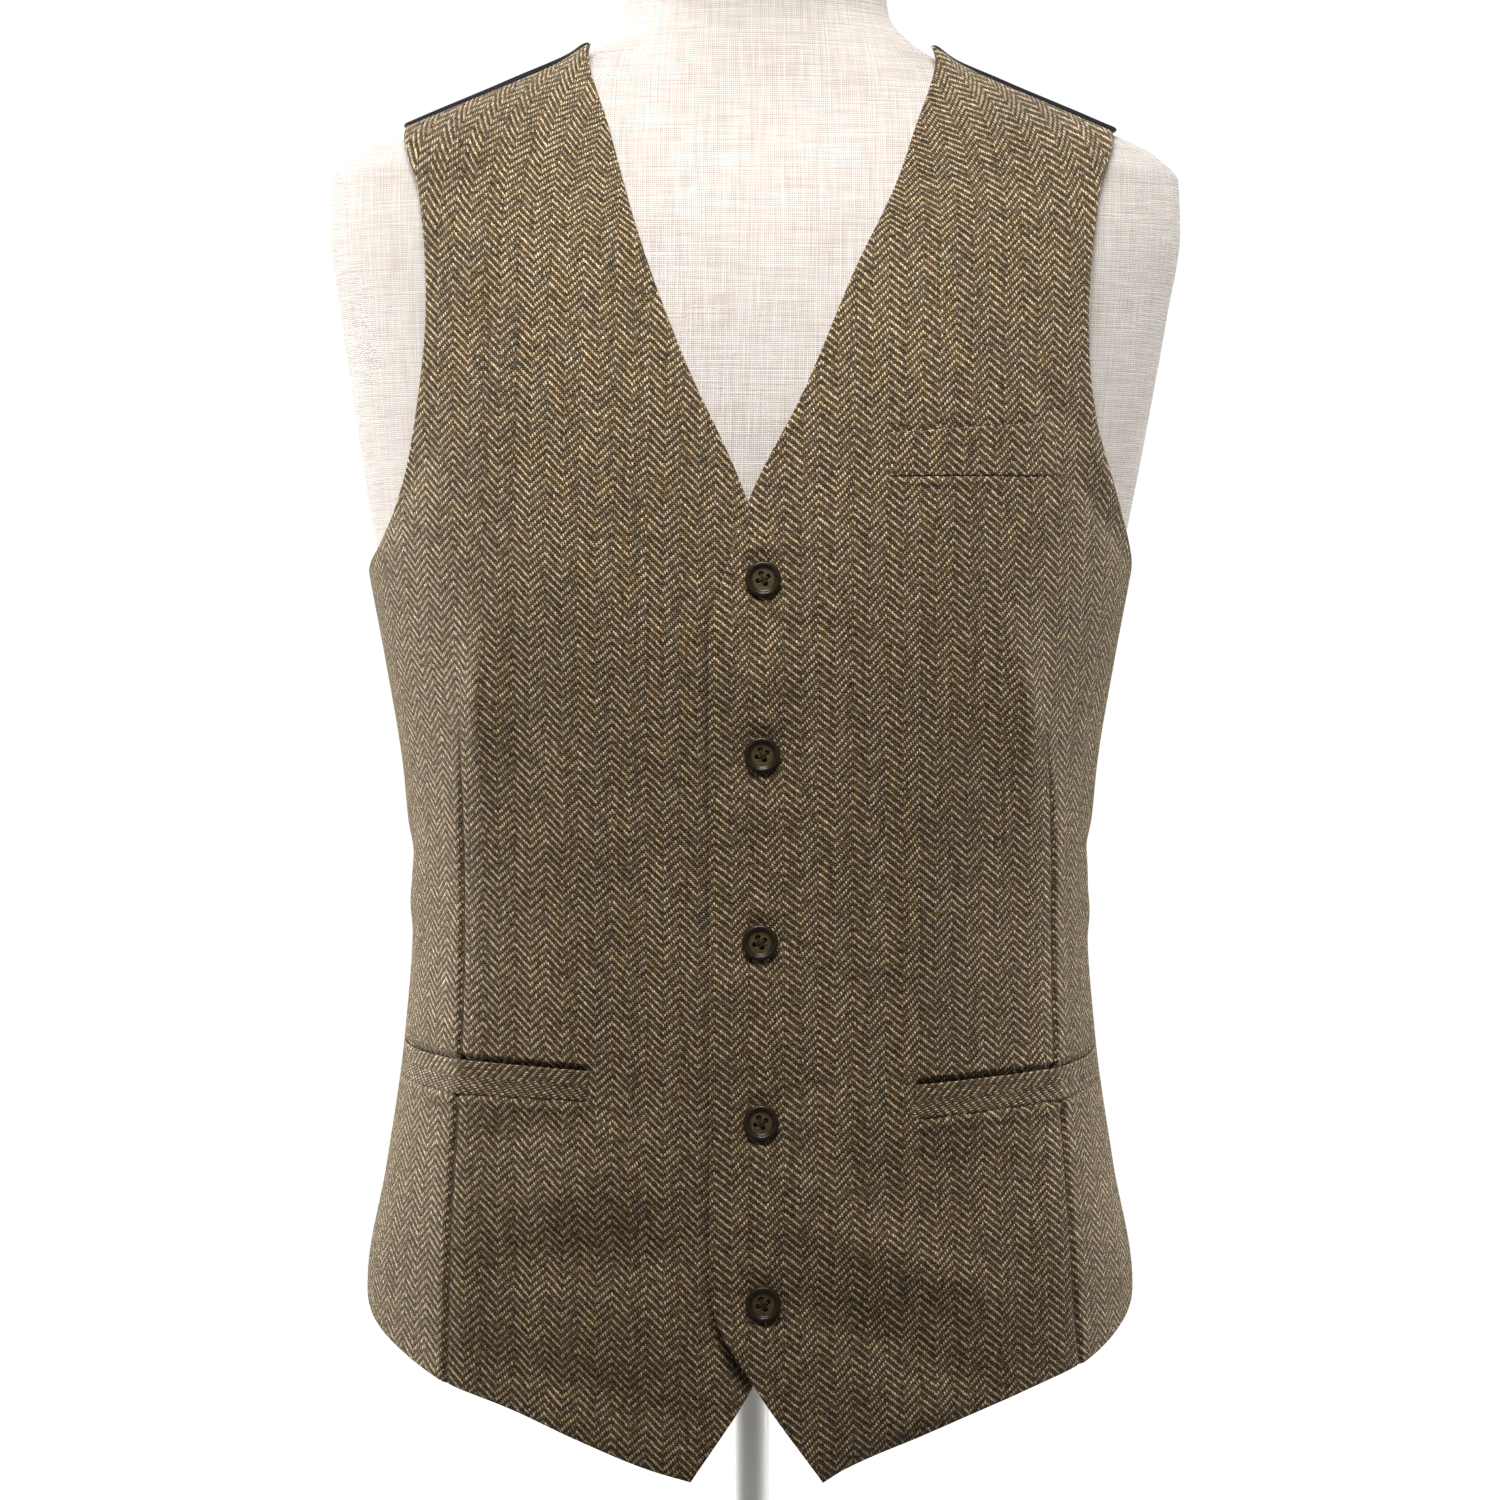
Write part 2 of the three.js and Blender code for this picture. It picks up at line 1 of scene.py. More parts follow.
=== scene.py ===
import math
import bpy
import numpy as np
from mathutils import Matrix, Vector


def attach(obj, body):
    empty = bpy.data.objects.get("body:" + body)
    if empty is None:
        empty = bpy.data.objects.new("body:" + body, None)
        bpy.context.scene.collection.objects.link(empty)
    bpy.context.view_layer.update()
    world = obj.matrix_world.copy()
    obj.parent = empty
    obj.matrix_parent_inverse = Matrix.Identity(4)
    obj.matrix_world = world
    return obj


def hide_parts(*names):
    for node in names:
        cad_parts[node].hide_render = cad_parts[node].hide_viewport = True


# A herringbone tweed waistcoat with a satin back on a linen dress form.
# Tables are in millimetres, as on a pattern: girth from the centre front, and height. Meshes are in metres.
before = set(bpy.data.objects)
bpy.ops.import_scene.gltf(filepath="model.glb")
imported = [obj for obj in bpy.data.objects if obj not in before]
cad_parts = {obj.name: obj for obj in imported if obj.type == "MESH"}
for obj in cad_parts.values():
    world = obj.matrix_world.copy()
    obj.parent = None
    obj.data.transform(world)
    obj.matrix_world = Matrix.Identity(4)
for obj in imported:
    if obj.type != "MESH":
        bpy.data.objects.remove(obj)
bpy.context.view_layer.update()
mm = 0.001
print("frame loaded:", len(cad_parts), "nodes")

camera = {"distance": 3.5, "height": 0.496, "sensor": 36, "lens": 177.13, "clipEnd": 40}
cameraData = bpy.data.cameras.new("camera")
cameraData.sensor_width = camera["sensor"]
cameraData.lens = camera["lens"]
cameraData.clip_end = camera["clipEnd"]
cameraObject = bpy.data.objects.new("camera", cameraData)
cameraObject.location = (0, -camera["distance"], camera["height"])
cameraObject.rotation_euler = (math.pi / 2, 0, 0)
bpy.context.scene.collection.objects.link(cameraObject)
bpy.context.scene.camera = cameraObject


def reading(keys, values, at):  # smooth, without overshoot
    keys, values = np.asarray(keys, float), np.asarray(values, float)
    at = np.clip(at, keys[0], keys[-1])
    i = np.clip(np.searchsorted(keys, at, side="right") - 1, 0, len(keys) - 2)
    run = np.diff(keys)
    slope = np.diff(values) / run
    tangent = np.concatenate([slope[:1], np.zeros(len(keys) - 2), slope[-1:]])
    same = slope[:-1] * slope[1:] > 0
    total = np.where(same, slope[:-1] + slope[1:], 1)
    tangent[1:-1] = np.where(same, 2 * slope[:-1] * slope[1:] / total, 0)
    t = (at - keys[i]) / run[i]
    start, end = values[i], values[i + 1]
    leave, arrive = tangent[i] * run[i], tangent[i + 1] * run[i]
    curve = t * (2 * (start - end) + leave + arrive) + 3 * (end - start) - 2 * leave - arrive
    return start + t * (leave + t * curve)


def tableReading(rows, at, column=1):
    return reading([row[0] for row in rows], [row[column] for row in rows], at)


def mix(start, end, share):
    return start + (end - start) * share


def smoothStep(start, end, at):
    t = np.clip((at - start) / (end - start), 0, 1)
    return t * t * (3 - 2 * t)


def bell(distance, width):
    return np.exp(-(distance / width) ** 2)


def splineThrough(points, share):  # a uniform spline through the points
    points = np.asarray(points, float)
    place = np.clip(share, 0, 1) * (len(points) - 1)
    i = np.minimum(place.astype(int), len(points) - 2)
    t = (place - i)[..., None]
    before, first = points[np.maximum(i - 1, 0)], points[i]
    second, after = points[i + 1], points[np.minimum(i + 2, len(points) - 1)]
    leave, arrive = (second - before) / 2, (after - first) / 2
    cubic = 2 * (first - second) + leave + arrive
    square = 3 * (second - first) - 2 * leave - arrive
    return first + t * (leave + t * (square + t * cubic))


figure = {
    "rows": [  # height, half width, depth to front and back, squareness, lean to the wearer's left
        (150, 178, 112, 114, 2.35, 0), (245, 178, 112, 116, 2.35, 0), (300, 169, 109, 110, 2.35, 0),
        (360, 160.5, 106, 98, 2.35, 0), (418, 156.5, 105, 91, 2.35, 0), (480, 160.3, 109, 96, 2.35, 0),
        (540, 169.7, 115, 107, 2.35, 0), (585, 178.5, 117, 114, 2.35, 0), (640, 188, 114, 118, 2.35, 1),
        (700, 198, 104, 115, 2.3, 2), (742, 204, 93, 103, 2.15, 2.5), (766, 203, 84, 92, 2, 2.5),
        (780, 190, 78, 84, 2, 2.5), (793, 162, 73, 78, 2, 2.5), (812, 117, 67, 72, 2, 2.5),
        (829.5, 79, 63, 68, 2, 2.5), (845, 65, 61, 64, 2, 2.5), (905, 61, 60, 60, 2, 2.5),
    ],
    "lowest": 140,
    "highest": 912,
    "shares": 601,  # places across each half section
    "turnSteps": 2401,  # points by which a half section is measured
    "reach": 1.5,  # step for the outward direction
}


def figureGrid():
    heights = np.arange(figure["lowest"], figure["highest"] + 1, dtype=float)
    wide, front, back, square, lean = (tableReading(figure["rows"], heights, k)[:, None] for k in range(1, 6))
    turn = np.linspace(0, math.pi, figure["turnSteps"])[None, :]
    across = wide * np.abs(np.sin(turn)) ** (2 / square)
    depth = np.where(turn < math.pi / 2, -front, back)
    along = depth * np.abs(np.cos(turn)) ** (2 / square)
    steps = np.hypot(np.diff(across, axis=1), np.diff(along, axis=1))
    length = np.concatenate([np.zeros((len(heights), 1)), np.cumsum(steps, axis=1)], axis=1)
    half = length[:, -1]
    share = np.linspace(0, 1, figure["shares"])
    gridX = np.array([np.interp(share * h, l, a) for h, l, a in zip(half, length, across)])
    gridY = np.array([np.interp(share * h, l, a) for h, l, a in zip(half, length, along)])
    return heights, half, lean[:, 0], gridX, gridY


figureHeights, figureHalf, figureLean, figureX, figureY = figureGrid()


def halfGirth(z):
    return np.interp(z, figureHeights, figureHalf)


def onFigure(girth, z):
    girth, z = np.broadcast_arrays(np.asarray(girth, float), np.asarray(z, float))
    half = halfGirth(z)
    size = np.abs(girth)
    side = np.where(girth < 0, -1.0, 1.0) * np.where(size > half, -1.0, 1.0)
    place = np.clip(np.minimum(size, 2 * half - size) / half, 0, 1) * (figure["shares"] - 1)
    column = np.minimum(place.astype(int), figure["shares"] - 2)
    level = np.clip(z, figure["lowest"], figure["highest"] - 1e-6) - figure["lowest"]
    row = level.astype(int)
    s, t = place - column, level - row

    def sample(grid):
        low = mix(grid[row, column], grid[row, column + 1], s)
        high = mix(grid[row + 1, column], grid[row + 1, column + 1], s)
        return mix(low, high, t)

    x = np.interp(z, figureHeights, figureLean) + side * sample(figureX)
    return np.stack([x, sample(figureY), z], -1)


def outward(girth, z):
    reach = figure["reach"]
    along = onFigure(girth + reach, z) - onFigure(girth - reach, z)
    up = onFigure(girth, z + reach) - onFigure(girth, z - reach)
    normal = np.cross(along, up)
    return normal / np.linalg.norm(normal, axis=-1, keepdims=True)


print("figure ready")


def addPiece(name, points, faces, cut, material, replaced=(), creaseAngle=None):
    mesh = bpy.data.meshes.new(name)
    mesh.from_pydata((np.asarray(points) * mm).tolist(), [], faces)
    mesh.shade_smooth()
    if creaseAngle:
        mesh.set_sharp_from_angle(angle=creaseAngle)
    layer = mesh.attributes.new("cut", "FLOAT_VECTOR", "POINT")  # where each point lay on the flat cloth
    layer.data.foreach_set("vector", np.asarray(cut, np.float32).ravel())
    mesh.materials.append(material)
    piece = bpy.data.objects.new(name, mesh)
    bpy.context.scene.collection.objects.link(piece)
    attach(piece, "root")
    if replaced:
        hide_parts(*replaced)
    return piece


def gridFaces(index):
    return np.stack([index[:-1, :-1], index[:-1, 1:], index[1:, 1:], index[1:, :-1]], -1).reshape(-1, 4)


# A turned-edge sheet over a grid of girths and heights: its two faces meet in one rounded edge
def clothSheet(name, sign, girth, z, lift, thick, rounding, cut, material, replaced):
    base = onFigure(sign * girth, z)
    normal = outward(sign * girth, z)
    outer = base + normal * (lift + thick / 2 * (1 + rounding))[..., None]
    inner = base + normal * (lift + thick / 2 * (1 - rounding))[..., None]
    rows, columns = girth.shape
    outerIndex = np.arange(rows * columns).reshape(rows, columns)
    innerIndex = outerIndex.copy()
    within = np.arange((rows - 2) * (columns - 2)).reshape(rows - 2, columns - 2)
    innerIndex[1:-1, 1:-1] = rows * columns + within
    points = np.concatenate([outer.reshape(-1, 3), inner[1:-1, 1:-1].reshape(-1, 3)])
    cuts = np.concatenate([cut.reshape(-1, 3), cut[1:-1, 1:-1].reshape(-1, 3)])
    outerFaces, innerFaces = gridFaces(outerIndex), gridFaces(innerIndex)
    middle = rows // 2, columns // 2
    along = outer[middle[0], middle[1] + 1] - outer[middle]
    up = outer[middle[0] + 1, middle[1]] - outer[middle]
    if np.dot(np.cross(along, up), normal[middle]) < 0:
        outerFaces = outerFaces[:, ::-1]
    else:
        innerFaces = innerFaces[:, ::-1]
    faces = np.concatenate([outerFaces, innerFaces]).tolist()
    return addPiece(name, points, faces, cuts, material, replaced)


def turned(distance, radius):  # 0 on the edge, 1 from radius inwards, round between
    return np.sqrt(1 - (1 - np.clip(distance / radius, 0, 1)) ** 2)


edgeSteps = np.array([0, 0.12, 0.35, 0.7, 1.15, 1.8, 2.8])  # where the grid lines lie beside an edge


def latheMesh(profile, segments):
    profile = np.asarray(profile, float)
    turn = np.linspace(0, 2 * math.pi, segments, endpoint=False)
    ring = np.stack([np.cos(turn), np.sin(turn)], -1)
    points = [np.array([[0, 0, profile[0, 1]]])]
    for radius, height in profile[1:-1]:
        points.append(np.column_stack([ring * radius, np.full(segments, height)]))
    points.append(np.array([[0, 0, profile[-1, 1]]]))
    count = len(profile) - 2
    faces = []
    for s in range(segments):
        t = (s + 1) % segments
        faces.append((0, 1 + t, 1 + s))
        for r in range(count - 1):
            a, b = 1 + r * segments, 1 + (r + 1) * segments
            faces.append((a + s, a + t, b + t, b + s))
        last = 1 + (count - 1) * segments
        faces.append((last + s, last + t, last + segments))
    return np.concatenate(points), faces


def mathNode(tree, operation, first, second=None, third=None):
    node = tree.nodes.new("ShaderNodeMath")
    node.operation = operation
    for i, value in enumerate((first, second, third)):
        if value is None:
            continue
        if isinstance(value, (int, float)):
            node.inputs[i].default_value = value
        else:
            tree.links.new(value, node.inputs[i])
    return node.outputs[0]


def mixNode(tree, factor, first, second, blend="MIX"):
    node = tree.nodes.new("ShaderNodeMix")
    node.data_type = "RGBA"
    node.blend_type = blend
    for i, value in ((0, factor), (6, first), (7, second)):
        if isinstance(value, (int, float)):
            node.inputs[i].default_value = value
        elif isinstance(value, tuple):
            node.inputs[i].default_value = (*value, 1)
        else:
            tree.links.new(value, node.inputs[i])
    return node.outputs[2]


def tonedNode(tree, color, tone):  # a colour made lighter or darker by a value
    return mixNode(tree, 1.0, color, joinNode(tree, tone, tone, tone), "MULTIPLY")


def noiseNode(tree, place, scale, detail=2.0, roughness=0.5, color=False):
    node = tree.nodes.new("ShaderNodeTexNoise")
    node.inputs["Scale"].default_value = scale
    node.inputs["Detail"].default_value = detail
    node.inputs["Roughness"].default_value = roughness
    tree.links.new(place, node.inputs["Vector"])
    return node.outputs["Color" if color else 0]


def whiteNode(tree, place):
    node = tree.nodes.new("ShaderNodeTexWhiteNoise")
    node.noise_dimensions = "3D"
    tree.links.new(place, node.inputs["Vector"])
    return node.outputs["Value"]


def joinNode(tree, x, y, z=0.0):
    node = tree.nodes.new("ShaderNodeCombineXYZ")
    for socket, value in zip(node.inputs, (x, y, z)):
        if isinstance(value, (int, float)):
            socket.default_value = value
        else:
            tree.links.new(value, socket)
    return node.outputs[0]


def splitNode(tree, vector):
    node = tree.nodes.new("ShaderNodeSeparateXYZ")
    tree.links.new(vector, node.inputs[0])
    return node.outputs


def rangeNode(tree, value, fromLow, fromHigh, toLow, toHigh):
    node = tree.nodes.new("ShaderNodeMapRange")
    node.interpolation_type = "SMOOTHSTEP"
    tree.links.new(value, node.inputs["Value"])
    node.inputs["From Min"].default_value = fromLow
    node.inputs["From Max"].default_value = fromHigh
    node.inputs["To Min"].default_value = toLow
    node.inputs["To Max"].default_value = toHigh
    return node.outputs["Result"]


def newGroup(name, inputs, outputs):
    tree = bpy.data.node_groups.new(name, "ShaderNodeTree")
    for label, kind, value in inputs:
        socket = tree.interface.new_socket(name=label, in_out="INPUT", socket_type="NodeSocket" + kind)
        if value is not None:
            socket.default_value = value
    for label, kind in outputs:
        tree.interface.new_socket(name=label, in_out="OUTPUT", socket_type="NodeSocket" + kind)
    start, end = tree.nodes.new("NodeGroupInput"), tree.nodes.new("NodeGroupOutput")
    return tree, start.outputs, end.inputs


def placeGroup(tree, group, values):
    node = tree.nodes.new("ShaderNodeGroup")
    node.node_tree = group
    for label, value in values.items():
        if hasattr(value, "is_output"):
            tree.links.new(value, node.inputs[label])
        else:
            node.inputs[label].default_value = (*value, 1) if isinstance(value, tuple) else value
    return node.outputs


# Slow changes of tone over a finish, in two sizes
def makeMottleGroup():
    tree, given, result = newGroup(
        "Soft mottle",
        [("Place", "Vector", None), ("Color", "Color", None), ("Large size", "Float", 60.0),
         ("Small size", "Float", 9.0), ("Amount", "Float", 0.2)],
        [("Color", "Color")],
    )
    amounts = []
    for size, detail in (("Large size", 1.0), ("Small size", 3.0)):
        scaled = tree.nodes.new("ShaderNodeVectorMath")
        scaled.operation = "SCALE"
        tree.links.new(given["Place"], scaled.inputs[0])
        tree.links.new(mathNode(tree, "DIVIDE", 1.0, given[size]), scaled.inputs["Scale"])
        spread = mathNode(tree, "SUBTRACT", noiseNode(tree, scaled.outputs[0], 1.0, detail), 0.5)
        amounts.append(mathNode(tree, "MULTIPLY", spread, given["Amount"]))
    tone = mathNode(tree, "ADD", mathNode(tree, "ADD", amounts[0], amounts[1]), 1.0)
    tree.links.new(tonedNode(tree, given["Color"], tone), result["Color"])
    return tree


# A tone is how much it varies and its least value, and a range is given as to rangeNode
herringbone = {
    "yarnsPerStripe": 8,
    "warpPitch": 0.98,  # in mm
    "weftPitch": 0.942,
    "driftScales": (0.22, 1.1),  # noises that move the yarns off their lines
    "warpArch": (1.5, 2.5),  # powers that round a float, across and along
    "weftArch": (2.0, 3.0),
    "weftHeight": 0.7,
    "seeds": (3.0, 7.0, 11.0),
    "warpTone": (0.35, 0.35),
    "floatTone": 0.95,
    "weftTone": (1.4, 0.35),
    # painted shade: a weft float is painted lighter on its crown and darker towards its ends, where it dips
    "weftHeightShade": 0.9,
    "fleckScale": 0.55,
    "fleckRange": (0.64, 0.76, 0.0, 0.8),
    "rareScale": 0.8,
    "rareRange": (0.7, 0.75, 0.0, 0.8),
    # painted shade: with this power a warp float is painted darker towards its edges, where it dips
    "crown": 0.45,  # power that spreads the light tone over a warp float
    "fuzzScale": 0.8,
    "fuzzRange": (0.3, 0.7, 0.5, 1.25),
    "fluffScale": 2.6,
    "fluffTone": (1.5, 0.25),
    "fluffHeight": 0.35,
}


# Two-and-two herringbone twill, yarn by yarn: warp floats show light and weft floats dark
def makeHerringboneGroup():
    tree, given, result = newGroup(
        "Herringbone twill",
        [("Cut", "Vector", None), ("Yarns per stripe", "Float", 8.0), ("Warp pitch", "Float", 0.98),
         ("Weft pitch", "Float", 0.942), ("Wobble", "Float", 0.85), ("Lean", "Float", 0.35),
         ("Light yarn", "Color", None), ("Dark yarn", "Color", None), ("Fleck yarn", "Color", None),
         ("Rare yarn", "Color", None), ("Fleck share", "Float", 0.06)],
        [("Color", "Color"), ("Height", "Float")],
    )
    both = tree.nodes.new("ShaderNodeVectorMath")
    both.operation = "ADD"
    for socket, scale in zip(both.inputs, herringbone["driftScales"]):
        tree.links.new(noiseNode(tree, given["Cut"], scale, 2.0, 0.6, True), socket)
    wobble = splitNode(tree, both.outputs[0])
    cut = splitNode(tree, given["Cut"])

    def wandering(axis):
        offset = mathNode(tree, "MULTIPLY", mathNode(tree, "SUBTRACT", wobble[axis], 1.0), given["Wobble"])
        return mathNode(tree, "ADD", cut[axis], offset)

    x = mathNode(tree, "DIVIDE", wandering(0), given["Warp pitch"])
    y = mathNode(tree, "DIVIDE", wandering(1), given["Weft pitch"])
    warp, weft = mathNode(tree, "FLOOR", x), mathNode(tree, "FLOOR", y)
    inWarp, inWeft = mathNode(tree, "SUBTRACT", x, warp), mathNode(tree, "SUBTRACT", y, weft)
    stripe = mathNode(tree, "FLOOR", mathNode(tree, "DIVIDE", warp, given["Yarns per stripe"]))
    odd = mathNode(tree, "FLOORED_MODULO", stripe, 2.0)
    turn = mathNode(tree, "MULTIPLY_ADD", odd, -2.0, 1.0)
    phase = mathNode(tree, "ADD", mathNode(tree, "MULTIPLY", warp, turn), weft)
    phase = mathNode(tree, "FLOORED_MODULO", mathNode(tree, "MULTIPLY_ADD", odd, 2.0, phase), 4.0)
    warpUp = mathNode(tree, "LESS_THAN", phase, 1.5)
    # Place along each float, from 0 to 1
    alongWarp = mathNode(tree, "DIVIDE", mathNode(tree, "ADD", phase, inWeft), 2.0)
    later = mathNode(tree, "SUBTRACT", phase, 2.0)
    forward = mathNode(tree, "ADD", later, inWarp)
    backward = mathNode(tree, "ADD", mathNode(tree, "SUBTRACT", 1.0, later), inWarp)
    mirrored = mathNode(tree, "ADD", mathNode(tree, "MULTIPLY", backward, odd),
                        mathNode(tree, "MULTIPLY", forward, mathNode(tree, "SUBTRACT", 1.0, odd)))
    alongWeft = mathNode(tree, "DIVIDE", mirrored, 2.0)

    def arch(share, power):  # 1 in the middle, 0 at both ends
        centred = mathNode(tree, "ABSOLUTE", mathNode(tree, "MULTIPLY_ADD", share, 2.0, -1.0))
        return mathNode(tree, "SUBTRACT", 1.0, mathNode(tree, "POWER", centred, power))

    # Each warp float leans with the twist of its yarn, so one way of the twill looks smoother than the other
    fromMiddle = mathNode(tree, "SUBTRACT", alongWarp, 0.5)
    leaning = mathNode(tree, "ADD", inWarp, mathNode(tree, "MULTIPLY", fromMiddle, given["Lean"]))
    leaning = mathNode(tree, "MINIMUM", mathNode(tree, "MAXIMUM", leaning, 0.0), 1.0)
    warpAcross, warpAlong = herringbone["warpArch"]
    weftAcross, weftAlong = herringbone["weftArch"]
    warpHeight = mathNode(tree, "MULTIPLY", arch(leaning, warpAcross), arch(alongWarp, warpAlong))
    weftHeight = mathNode(tree, "MULTIPLY", arch(inWeft, weftAcross), arch(alongWeft, weftAlong))
    weftHeight = mathNode(tree, "MULTIPLY", weftHeight, herringbone["weftHeight"])
    height = mathNode(tree, "ADD", mathNode(tree, "MULTIPLY", warpHeight, warpUp),
                      mathNode(tree, "MULTIPLY", weftHeight, mathNode(tree, "SUBTRACT", 1.0, warpUp)))
    # Each yarn, and each float along it, has its own tone
    warpSeed, floatSeed, weftSeed = herringbone["seeds"]
    warpTone = whiteNode(tree, joinNode(tree, warp, warpSeed))
    floatRow = mathNode(tree, "FLOOR", mathNode(tree, "DIVIDE", mathNode(tree, "SUBTRACT", weft, phase), 4.0))
    floatTone = whiteNode(tree, joinNode(tree, warp, floatRow, floatSeed))
    weftRun = mathNode(tree, "FLOOR", mathNode(tree, "DIVIDE", warp, 3.0))
    weftTone = whiteNode(tree, joinNode(tree, weft, weftRun, weftSeed))
    lightTone = mathNode(tree, "MULTIPLY_ADD", warpTone, *herringbone["warpTone"])
    lightTone = mathNode(tree, "MULTIPLY_ADD", floatTone, herringbone["floatTone"], lightTone)
    light = tonedNode(tree, given["Light yarn"], lightTone)
    darkTone = mathNode(tree, "MULTIPLY_ADD", weftTone, *herringbone["weftTone"])
    # painted shade: the weft float's tone follows its height, lighter on the crown and darker at the ends
    darkTone = mathNode(tree, "MULTIPLY_ADD", weftHeight, herringbone["weftHeightShade"], darkTone)
    dark = tonedNode(tree, given["Dark yarn"], darkTone)
    fleck = noiseNode(tree, given["Cut"], herringbone["fleckScale"], 2.0, 0.6)
    fleck = mathNode(tree, "ADD", fleck, given["Fleck share"])
    light = mixNode(tree, rangeNode(tree, fleck, *herringbone["fleckRange"]), light, given["Fleck yarn"])
    rare = noiseNode(tree, given["Cut"], herringbone["rareScale"], 1.0, 0.5)
    dark = mixNode(tree, rangeNode(tree, rare, *herringbone["rareRange"]), dark, given["Rare yarn"])
    # Light shows only along the crown of each warp float. Towards a float's edges and ends the colour turns
    # to the dark yarn: partly the dark weft showing between floats, partly painted shade where the float dips
    crown = mathNode(tree, "MULTIPLY", mathNode(tree, "POWER", warpHeight, herringbone["crown"]), warpUp)
    fuzz = noiseNode(tree, given["Cut"], herringbone["fuzzScale"], 3.0, 0.65)
    crown = mathNode(tree, "MULTIPLY", crown, rangeNode(tree, fuzz, *herringbone["fuzzRange"]))
    # Loose fibres over both yarns
    fluff = noiseNode(tree, given["Cut"], herringbone["fluffScale"], 2.0, 0.6)
    fluffTone = mathNode(tree, "MULTIPLY_ADD", fluff, *herringbone["fluffTone"])
    tree.links.new(tonedNode(tree, mixNode(tree, crown, dark, light), fluffTone), result["Color"])
    raised = mathNode(tree, "MULTIPLY_ADD", fluff, herringbone["fluffHeight"], height)
    tree.links.new(raised, result["Height"])
    return tree


plainWeave = {
    "along": 0.035,  # scales of the noise in a thread, which changes slowly along it and quickly across
    "across": 0.9,
    "seeds": (2.0, 9.0),
    "slubRange": (0.38, 0.62, 0.0, 1.0),
    "gapShadeRange": (0.15, 0.6, 1.0, 0.0),
}


# Plain weave of uneven threads, for linen and, finer, for satin. Its gap mask tells where the linen gets
# painted shade between its threads
def makePlainWeaveGroup():
    tree, given, result = newGroup(
        "Plain weave",
        [("Cut", "Vector", None), ("Thread pitch", "Float", 0.8), ("Slub", "Float", 0.4),
         ("Across share", "Float", 1.0)],
        [("Height", "Float"), ("Slub mask", "Float"), ("Gap shade mask", "Float")],
    )
    cut = splitNode(tree, given["Cut"])

    def threads(along, across, seed):
        slow = mathNode(tree, "MULTIPLY", along, plainWeave["along"])
        quick = mathNode(tree, "MULTIPLY", across, plainWeave["across"])
        uneven = noiseNode(tree, joinNode(tree, slow, quick, seed), 1.0, 2.0, 0.5)
        offset = mathNode(tree, "MULTIPLY", mathNode(tree, "SUBTRACT", uneven, 0.5), given["Slub"])
        turns = mathNode(tree, "DIVIDE", mathNode(tree, "ADD", across, offset), given["Thread pitch"])
        wave = mathNode(tree, "SINE", mathNode(tree, "MULTIPLY", turns, 2 * math.pi))
        return mathNode(tree, "MULTIPLY_ADD", wave, 0.5, 0.5), uneven

    upright, uprightSlub = threads(cut[1], cut[0], plainWeave["seeds"][0])
    level, levelSlub = threads(cut[0], cut[1], plainWeave["seeds"][1])
    level = mathNode(tree, "MULTIPLY", level, given["Across share"])
    height = mathNode(tree, "MAXIMUM", upright, level)
    tree.links.new(height, result["Height"])
    slub = mathNode(tree, "MULTIPLY", mathNode(tree, "ADD", uprightSlub, levelSlub), 0.5)
    tree.links.new(rangeNode(tree, slub, *plainWeave["slubRange"]), result["Slub mask"])
    # painted shade: the gap mask is high where the weave is low, between the threads
    tree.links.new(rangeNode(tree, height, *plainWeave["gapShadeRange"]), result["Gap shade mask"])
    return tree


mottleGroup = makeMottleGroup()
herringboneGroup = makeHerringboneGroup()
plainWeaveGroup = makePlainWeaveGroup()


def newMaterial(name, values):
    material = bpy.data.materials.new(name)
    material.use_nodes = True
    tree = material.node_tree
    shader = tree.nodes["Principled BSDF"]
    for label, value in values.items():
        shader.inputs[label].default_value = value
    place = tree.nodes.new("ShaderNodeAttribute")
    place.attribute_name = "cut"
    return material, tree, shader, place.outputs["Vector"]


def bumpInto(tree, shader, height, distance):
    bump = tree.nodes.new("ShaderNodeBump")
    bump.inputs["Distance"].default_value = distance
    tree.links.new(height, bump.inputs["Height"])
    tree.links.new(bump.outputs["Normal"], shader.inputs["Normal"])


def mottleInto(tree, shader, place, values):
    tone = placeGroup(tree, mottleGroup, {"Place": place, **values})
    tree.links.new(tone["Color"], shader.inputs["Base Color"])


tweed = {
    "lightYarn": (0.53, 0.405, 0.25),
    "darkYarn": (0.05, 0.0285, 0.012),
    "fleckYarn": (0.4, 0.3, 0.04),
    "rareYarn": (0.06, 0.036, 0.06),
    "roughness": 0.95,
    "specular": 0.15,
    "sheen": 0.22,
    "sheenRoughness": 0.45,
    "sheenTint": (0.95, 0.86, 0.72, 1),
    "mottle": 0.35,
    "bumpDistance": 0.0004,
}


def makeTweed():
    material, tree, shader, place = newMaterial("tweed", {
        "Roughness": tweed["roughness"],
        "Specular IOR Level": tweed["specular"],
        "Sheen Weight": tweed["sheen"],
        "Sheen Roughness": tweed["sheenRoughness"],
        "Sheen Tint": tweed["sheenTint"],
    })
    weave = placeGroup(tree, herringboneGroup, {
        "Cut": place, "Light yarn": tweed["lightYarn"], "Dark yarn": tweed["darkYarn"],
        "Fleck yarn": tweed["fleckYarn"], "Rare yarn": tweed["rareYarn"],
        "Yarns per stripe": herringbone["yarnsPerStripe"], "Warp pitch": herringbone["warpPitch"],
        "Weft pitch": herringbone["weftPitch"],
    })
    mottleInto(tree, shader, place, {"Color": weave["Color"], "Amount": tweed["mottle"]})
    bumpInto(tree, shader, weave["Height"], tweed["bumpDistance"])
    return material


